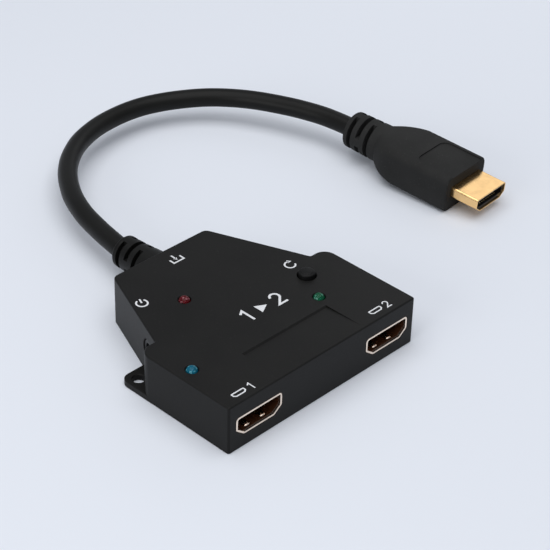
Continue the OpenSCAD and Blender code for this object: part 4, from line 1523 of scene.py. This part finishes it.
@dataclass
class Lamp:
    """One indicator lamp: a tinted dome with a metal cup inside."""

    node: str
    spot: Vector
    finish: Finish
    slot: str
    top: float
    diameter: float = 3.0
    length: float = 5.3
    flange: float = 3.8
    flange_thickness: float = 1.0
    flange_fall: float = 0.05
    cup: float = 1.5
    cup_drop: float = 0.4
    cup_lip: float = 0.1
    cup_side: float = 0.3
    cup_height: float = 0.8
    cup_floor: float = 0.35
    cup_hollow: float = 0.4
    stem: float = 0.3

    def build(self) -> list[Piece]:
        """Builds the dome and the cup inside it.

        Returns:
            The settled pieces.
        """
        r, f = self.diameter / 2, self.flange / 2
        base = self.top - self.length
        brim = base + self.flange_thickness
        place = Matrix.Translation(self.spot.to_3d())
        profile = [
            (AXIS_RADIUS, base), (f, base), (f, brim), (r, brim + self.flange_fall),
            *arc_profile((0, self.top - r), r, 0, 89.6, 14),
        ]
        dome = raw_piece(f"{self.node}_dome", turn(profile, Axis.UP, 40), place)
        settle(dome, self.finish, stands_for=[self.node], slot=self.slot, crease=40)
        c = self.cup / 2
        rim = self.top - r - self.cup_drop
        foot, hollow = base + self.stem, rim - self.cup_hollow
        cup_profile = [
            (AXIS_RADIUS, foot), (self.stem, foot), (self.stem, rim - self.cup_height), (c, rim - self.cup_side),
            (c, rim), (c - self.cup_lip, rim), (self.cup_floor, hollow), (AXIS_RADIUS, hollow),
        ]
        cup = raw_piece(f"{self.node}_cup", turn(cup_profile, Axis.UP, 24), place)
        settle(cup, Palette.TIN, slot="tin")
        return [dome, cup]


@dataclass
class ResetButton:
    """The button cap, slightly domed, with its flange under the top."""

    spot: Vector
    top: float
    bottom: float
    flange_top: float
    diameter: float = 4.4
    edge: float = 0.5
    dome: float = 0.3
    flange: float = 6.2
    flange_thickness: float = 0.9
    bore: float = 2.7
    bore_depth: float = 1.8

    def build(self) -> Piece:
        """Builds the cap.

        Returns:
            The settled piece.
        """
        r, b = self.diameter / 2, self.bore / 2
        rim = self.top - self.dome
        crown = [
            ((r - self.edge) * math.cos(a), rim + self.dome * math.sin(a))
            for a in (math.radians(90 * k / 6) for k in range(1, 6))
        ]
        profile = [
            (AXIS_RADIUS, self.bottom + self.bore_depth), (b, self.bottom + self.bore_depth), (b, self.bottom),
            (r, self.bottom), (r, self.flange_top - self.flange_thickness),
            (self.flange / 2, self.flange_top - self.flange_thickness), (self.flange / 2, self.flange_top),
            (r, self.flange_top), *arc_profile((r - self.edge, rim - self.edge), self.edge, 0, 90, 4),
            *crown, (AXIS_RADIUS, self.top),
        ]
        cap = raw_piece("reset_cap", turn(profile, Axis.UP, 48), Matrix.Translation(self.spot.to_3d()))
        return settle(cap, Palette.KEY, Body.KEY, ["reset_button"], "key")


@dataclass
class CoverScrews:
    """Four cross-head screws from below."""

    places: Sequence[Vector]
    sink: float = 0.2
    head: float = 3.6
    head_height: float = 0.8
    shank: float = 2.0
    length: float = 6.0
    cross: float = 2.1
    cross_width: float = 0.55
    cross_depth: float = 0.5
    point: float = 0.4
    crown: Sequence[tuple[float, float]] = ((0.55, 0), (0.85, 0.12), (1, 0.4))

    def one(self) -> Piece:
        """Makes one screw on its own, head down, at the origin."""
        r, s = self.head / 2, self.shank / 2
        seat = self.sink + self.head_height
        tip = seat + self.length
        crown = [(r * share, self.sink + fall) for share, fall in self.crown]
        profile = [
            (AXIS_RADIUS, self.sink), *crown, (r, seat),
            (s, seat), (s, tip - self.point), (s / 2, tip), (AXIS_RADIUS, tip),
        ]
        screw = raw_piece("one_screw", turn(profile, Axis.UP, 32))
        cutters = []
        for k in (0, 1):
            half = (self.cross / 2, self.cross_width / 2)[:: 1 if k == 0 else -1]
            arm = rounded_ring(box_corners(-half[0], -half[1], half[0], half[1]), [0.1] * 4, 0, 2)
            cutters.append(
                raw_piece(
                    f"cross_{k}", [flat_ring(arm, self.sink - OVER), flat_ring(arm, self.sink + self.cross_depth)]
                )
            )
        combine(screw, cutters)
        return screw

    def build(self, pattern: RowPattern) -> Piece:
        """Builds the four screws as two rows.

        Args:
            pattern: The tree that repeats them.

        Returns:
            The settled piece.
        """
        screw = self.one()
        rows = []
        for k in (0, 2):
            first, second = self.places[k], self.places[k + 1]
            start = Vector((first.x, first.y, 0))
            step = Vector((second.x - first.x, second.y - first.y, 0))
            rows.append(pattern.row(f"screw_row_{k}", screw, 2, start, step, Palette.STEEL))
        discard(screw)
        piece = merge("cross_screws", rows)
        return settle(piece, Palette.STEEL, stands_for=["cover_screws"], slot="steel")


@dataclass
class Lead:
    """The lead, from the strain relief to the plug's boot."""

    start: Vector
    stop: Vector
    stop_heading: Vector
    diameter: float = 5.6
    route: Sequence[tuple[float, float, float]] = (
        (0.6, 48.5, 7.4), (1.8, 55.2, 7.4), (4.1, 64.5, 7.5), (8.7, 74.9, 7.5), (16.5, 85.5, 7.4),
        (26.4, 93.4, 7.2), (36.3, 97.5, 7.1), (45.6, 99, 7), (54.1, 98.6, 7), (61.2, 96.4, 7.1),
        (67.9, 92.7, 7.3), (73.7, 88.2, 7.5), (78.5, 82.4, 7.8), (82.1, 76.2, 8.1), (85.2, 69.2, 8.3),
        (87.5, 62.4, 8.5), (89.5, 54.5, 8.5),
    )

    def points(self) -> list[Vector]:
        """Gives the route from end to end, in metres."""
        return [p * MM for p in (self.start, *map(Vector, self.route), self.stop)]

    def build(self) -> Piece:
        """Builds the lead as one smooth curve.

        Returns:
            The curve.
        """
        points = self.points()
        curve = bpy.data.curves.new("input_lead", "CURVE")
        curve.dimensions = "3D"
        curve.bevel_depth = self.diameter / 2 * MM
        curve.bevel_resolution = 8
        curve.resolution_u = 10
        curve.use_fill_caps = True
        spline = curve.splines.new("BEZIER")
        spline.bezier_points.add(len(points) - 1)
        for i, (knot, here) in enumerate(zip(spline.bezier_points, points)):
            before, after = points[max(i - 1, 0)], points[min(i + 1, len(points) - 1)]
            heading = (after - before).normalized()
            if i == 0:
                heading = Vector((0, 1, 0))
            if i == len(points) - 1:
                heading = self.stop_heading
            knot.co = here
            knot.handle_left_type = knot.handle_right_type = "FREE"
            knot.handle_left = here - heading * (here - before).length / 3
            knot.handle_right = here + heading * (after - here).length / 3
        lead = new_object("input_lead", curve)
        curve.materials.append(Palette.JACKET.material())
        join_body(lead, Body.HOUSING, ["cable"], "jacket")
        return lead

    def length(self, lead: Piece) -> float:
        """Measures the lead along its middle, in metres."""
        return lead.data.splines[0].calc_length()


@dataclass
class Legend:
    """Printed signs on the top: plain numerals and plain symbols."""

    height: float
    ink: float = 0.03
    line: float = 0.45
    bold: float = 0.13
    mesh: bmesh.types.BMesh = field(default_factory=bmesh.new, init=False)
    arc_steps: int = 24
    miter: float = 0.35
    port_scale: float = 0.27
    port_line: float = 0.8
    title_size: float = 4.8
    port_size: float = 2.5
    entry_spot: tuple[float, float] = (0.92, 24.52)
    power_spot: tuple[float, float] = (-18.49, 15.46)
    power_radius: float = 1.45
    reset_off: tuple[float, float] = (0.3, 6.17)
    reset_radius: float = 1.4
    title_spot: tuple[float, float] = (1.66, -6.02)
    port_spots: Sequence[tuple[str, float, float]] = (("1", -24.37, -26.43), ("2", 22.88, -26.17))

    @property
    def low(self) -> float:
        """The height of the ink's underside, just in the plastic."""
        return self.height - self.ink / 2

    @property
    def high(self) -> float:
        """The height of the ink's face."""
        return self.height + self.ink / 2

    def stroke(self, points: Sequence[Vector], width: float, closed: bool = False) -> None:
        """Prints a line of even width.

        Args:
            points: The line's points on the top.
            width: Its width.
            closed: Whether it runs back to its start.
        """
        rings = []
        count = len(points)
        for i, here in enumerate(points):
            before = points[i - 1] if closed or i else here
            after = points[(i + 1) % count] if closed or i < count - 1 else here
            into, away = here - before, after - here
            if into.length == 0:
                into = away
            if away.length == 0:
                away = into
            into, away = into.normalized(), away.normalized()
            across = Vector((-(into.y + away.y), into.x + away.x)).normalized()
            reach = width / 2 / max(across.dot(Vector((-into.y, into.x))), self.miter)
            left, right = here + across * reach, here - across * reach
            rings.append([*flat_ring([left, right], self.low), *flat_ring([right, left], self.high)])
        loft(self.mesh, [*rings, rings[0]] if closed else rings, not closed)

    def patch(self, points: Sequence[Vector]) -> None:
        """Prints a filled shape from its corners on the top."""
        loft(self.mesh, [flat_ring(points, self.low), flat_ring(points, self.high)])

    def arc(self, centre: Vector, radius: float, start: float, stop: float) -> list[Vector]:
        """Gives points along an arc on the top, between two angles in degrees."""
        return [Vector(point) for point in arc_profile(centre, radius, start, stop, self.arc_steps)]

    def arrow_head(self, tip: Vector, heading: Vector, size: float) -> None:
        """Prints a filled arrow head.

        Args:
            tip: Its tip.
            heading: The way that it points.
            size: Its length.
        """
        heading = heading.normalized()
        across = Vector((-heading.y, heading.x))
        back = tip - heading * size
        self.patch([tip, back + across * size * 0.55, back - across * size * 0.55])

    def power_sign(self, centre: Vector, radius: float, turn_: float) -> None:
        """Prints the common sign for power: an open ring and a bar.

        Args:
            centre: Its middle.
            radius: Its radius.
            turn_: Its turn in degrees.
        """
        self.stroke(self.arc(centre, radius, turn_ + 125, turn_ + 415), self.line)
        up = Vector((math.cos(math.radians(turn_ + 90)), math.sin(math.radians(turn_ + 90))))
        self.stroke([centre + up * 0.1, centre + up * radius * 1.25], self.line)

    def reset_sign(self, centre: Vector, radius: float) -> None:
        """Prints a ring with an arrow head for starting again.

        Args:
            centre: Its middle.
            radius: Its radius.
        """
        ring = self.arc(centre, radius, 60, 340)
        self.stroke(ring, self.line)
        self.arrow_head(ring[0] + Vector((0.75, -0.3)), Vector((0.9, -0.45)), 1.15)

    def entry_sign(self, centre: Vector) -> None:
        """Prints an arrow that enters a bracket.

        Args:
            centre: Its middle.
        """
        tip = centre + Vector((0, -1.0))
        self.stroke([centre + Vector((0, 1.5)), tip + Vector((0, 0.7))], self.line)
        self.arrow_head(tip, Vector((0, -1)), 1.0)
        bracket = [Vector((-1.7, 0.1)), Vector((-1.7, -1.6)), Vector((1.7, -1.6)), Vector((1.7, 0.1))]
        self.stroke([centre + p for p in bracket], self.line)

    def port_sign(self, centre: Vector, mouth: MouthOutline) -> None:
        """Prints a small outline of a socket's mouth round a middle."""
        ring = [centre + point * self.port_scale for point in mouth.ring(0, 2)]
        self.stroke(ring, self.line * self.port_line, closed=True)

    def numeral(self, text: str, centre: Vector, size: float) -> None:
        """Prints a plain numeral, 1 or 2.

        Args:
            text: The numeral.
            centre: Its middle.
            size: Its height.
        """
        if text == "1":
            line = [Vector((-0.24, 0.26)), Vector((0.04, 0.46)), Vector((0.04, -0.5))]
        else:
            line = self.arc(Vector((0, 0.2)), 0.27, 170, -38)
            line += [Vector((-0.28, -0.45)), Vector((0.32, -0.45))]
        self.stroke([centre + point * size for point in line], size * self.bold)

    def build(self, housing: Housing, mouth: MouthOutline, button: Vector) -> Piece:
        """Prints all the signs as one thin piece.

        Args:
            housing: The housing that carries them.
            mouth: The sockets' mouth.
            button: The reset button's place.

        Returns:
            The settled piece.
        """
        along = math.degrees(math.atan2(housing.slant.y, housing.slant.x))
        self.entry_sign(Vector(self.entry_spot))
        self.power_sign(Vector(self.power_spot), self.power_radius, along - 90)
        self.reset_sign(button + Vector(self.reset_off), self.reset_radius)
        middle = Vector(self.title_spot)
        self.arrow_head(middle + Vector((1.7, 0)), Vector((1, 0)), 3.0)
        self.numeral("1", middle - Vector((5.0, 0)), self.title_size)
        self.numeral("2", middle + Vector((5.4, 0)), self.title_size)
        for text, x, y in self.port_spots:
            self.port_sign(Vector((x - 1.9, y)), mouth)
            self.numeral(text, Vector((x + 2.0, y)), self.port_size)
        return settle(raw_object("printed_signs", self.mesh), Palette.INK, crease=20)


@dataclass
class Studio:
    """The floor, the lights and the camera."""

    camera_place: Vector = field(default_factory=lambda: Vector((-258.23, -257.89, 268.53)))
    azimuth: float = -46.37
    elevation: float = 34.14
    roll: float = 1.64
    field_of_view: float = 17.32
    floor_colour: Colour = (0.79, 0.82, 0.88)
    world_colour: Colour = (0.72, 0.77, 0.86)
    world_strength: float = 0.3
    backdrop_strength: float = 0.5
    floor_radius: float = 6000
    floor_patch: float = 400

    def floor(self) -> None:
        """Lays a large pale floor."""
        mesh = bmesh.new()
        bmesh.ops.create_circle(mesh, cap_ends=True, segments=64, radius=self.floor_radius)
        made = raw_object("studio_floor", mesh)
        made.data.transform(Matrix.Scale(MM, 4))
        material = bpy.data.materials.new("studio_floor")
        sheet = ShaderSheet(material, "ShaderNodeOutputMaterial")
        faint = sheet.noise(sheet.place(), self.floor_patch, 2)
        colour = sheet.mix(faint, shade(self.floor_colour, 0.99), shade(self.floor_colour, 1.01))
        sheet.close(sheet.principled({"Base Color": colour, "Roughness": 0.9, "Specular IOR Level": 0.1}))
        made.data.materials.append(material)

    def world(self) -> None:
        """Fills the room with even light, and shows mirrors and glass a pale backdrop."""
        world = bpy.data.worlds.new("studio_world")
        bpy.context.scene.world = world
        sheet = ShaderSheet(world, "ShaderNodeOutputWorld")
        room, backdrop = (
            sheet.node("ShaderNodeBackground", {}, {"Color": (*colour, 1), "Strength": strength})
            for colour, strength in (
                (self.world_colour, self.world_strength), (self.floor_colour, self.backdrop_strength)
            )
        )
        camera, mirror, glass = (
            sheet.node("ShaderNodeLightPath", out=f"Is {ray} Ray") for ray in ("Camera", "Glossy", "Transmission")
        )
        sheet.close(sheet.node("ShaderNodeMixShader", {}, {0: camera + mirror + glass, 1: room, 2: backdrop}))

    def lamp(self, name: str, place: Vector, target: Vector, size: float, power: float) -> None:
        """Hangs a square soft light.

        Args:
            name: Its name.
            place: Where it hangs, in millimetres.
            target: What it points at, in millimetres.
            size: The length of its side, in millimetres.
            power: Its power in watts.
        """
        data = bpy.data.lights.new(name, "AREA")
        data.shape = "SQUARE"
        data.size = size * MM
        data.energy = power
        made = new_object(name, data)
        made.location = place * MM
        made.rotation_euler = (target - place).to_track_quat("-Z", "Y").to_euler()

    def lights(self) -> None:
        """Hangs a large soft light overhead, a weak fill at the left and a dim card for the plug's metal."""
        self.lamp("soft_box", Vector((-150, -100, 1200)), Vector((30, 30, 0)), 1600, 14.6)
        self.lamp("fill", Vector((-800, 0, 250)), Vector((60, 30, 5)), 500, 2.2)
        self.lamp("card", Vector((304, 130, 180)), Vector((94, 0, 6)), 160, 0.056)

    def camera(self) -> None:
        """Sets the camera at the view that was fitted to the table."""
        a, e, r = (math.radians(v) for v in (self.azimuth, self.elevation, self.roll))
        back = Vector((math.sin(a) * math.cos(e), -math.cos(a) * math.cos(e), math.sin(e)))
        level = Vector((math.cos(a), math.sin(a), 0))
        upright = back.cross(level)
        right = level * math.cos(r) + upright * math.sin(r)
        up = upright * math.cos(r) - level * math.sin(r)
        data = bpy.data.cameras.new("table_camera")
        data.sensor_fit = "HORIZONTAL"
        data.angle = math.radians(self.field_of_view)
        made = new_object("table_camera", data)
        axes = Matrix((right, up, back)).transposed().to_4x4()
        made.matrix_world = Matrix.Translation(self.camera_place * MM) @ axes
        bpy.context.scene.camera = made

    def build(self) -> None:
        """Builds the studio."""
        self.floor()
        self.world()
        self.lights()
        self.camera()
        bpy.context.scene.view_settings.view_transform = "Standard"


KEPT_NODES: Mapping[Finish, Sequence[str]] = {
    Palette.HOUSING: ("bottom_cover",),
    Palette.BOARD: ("main_board",),
    Palette.STEEL: ("reset_dome",),
    Palette.TIN: ("lamp_leads", "inlet_pin", "inlet_spring", "chip_leads_set", "crystal", "capacitors"),
    Palette.MOULDING: (
        "reset_plunger", "reset_switch", "inlet_body", "splitter_chip", "memory_chip", "regulator",
        "plug_insulator",
    ),
    Palette.FERRITE: ("power_coil",),
    Palette.SLEEVE: ("cable_wires",),
}
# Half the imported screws' heads, and half the way between the front pair
SCREW_REACH = 1.8
FRONT_PAIR = 10.55


def node_middle(node: str) -> Vector:
    """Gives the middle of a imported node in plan, in millimetres."""
    low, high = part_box(node)
    return Vector(((low[0] + high[0]) / 2, (low[1] + high[1]) / 2)) / MM


def screw_spots() -> list[Vector]:
    """Gives the screws' places, front pair first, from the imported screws' box."""
    low, high = (Vector(corner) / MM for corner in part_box("cover_screws"))
    pairs = ((FRONT_PAIR, low.y + SCREW_REACH), (high.x - SCREW_REACH, high.y - SCREW_REACH))
    return [Vector((side * x, y)) for x, y in pairs for side in (-1, 1)]


def main() -> None:
    """Builds the studio and every sub-assembly in order."""
    logging.basicConfig(level=logging.INFO, format="%(name)s: %(message)s")
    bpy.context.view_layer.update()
    Studio().build()
    low, high = (Vector(corner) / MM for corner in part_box("top_housing"))
    housing = Housing(high.x - low.x, high.y - low.y, high.z)
    relief = StrainRelief(housing.back)
    plug = Plug()
    toward = plug.place.to_3x3() @ Vector((0, -1, 0))
    lead = Lead(relief.end, plug.lead_end, toward)
    cord = lead.build()
    sleeve = relief.build()
    pattern, contact = RowPattern("contact_row"), Contact()
    plug_pieces = [plug.grip(), plug.shell(), plug.contacts(pattern, contact)]
    length = lead.length(cord)
    lead.diameter * MM
    LOG.info("the lead is %.3f m long", length)
    mouth = MouthOutline(width=14.0, height=4.6, waist=9.6, side=2.9, radius=0.5)
    for name, side in (("out1", -1), ("out2", 1)):
        OutputSocket(name, side * housing.port_x, housing.front, mouth).build(pattern, contact, SpringFinger())
    lamps = [
        Lamp(node, node_middle(node), finish, slot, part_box(node)[1][2] / MM)
        for node, finish, slot in (
            ("power_lamp", Palette.RED, "lamp_red"), ("out1_lamp", Palette.BLUE, "lamp_blue"),
            ("out2_lamp", Palette.GREEN, "lamp_green"),
        )
    ]
    for lamp in lamps:
        lamp.build()
    button_low, button_high = (Vector(corner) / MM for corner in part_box("reset_button"))
    button = node_middle("reset_button")
    ResetButton(button, button_high.z, button_low.z, housing.ceiling - 0.2).build()
    screws = screw_spots()
    housing.build(mouth, [lamp.spot for lamp in lamps], button, screws)
    CoverScrews(screws).build(pattern)
    Legend(housing.height).build(housing, mouth, button)
    for finish, nodes in KEPT_NODES.items():
        for node in nodes:
            dress(node, finish)


if __name__ == "__main__":
    main()
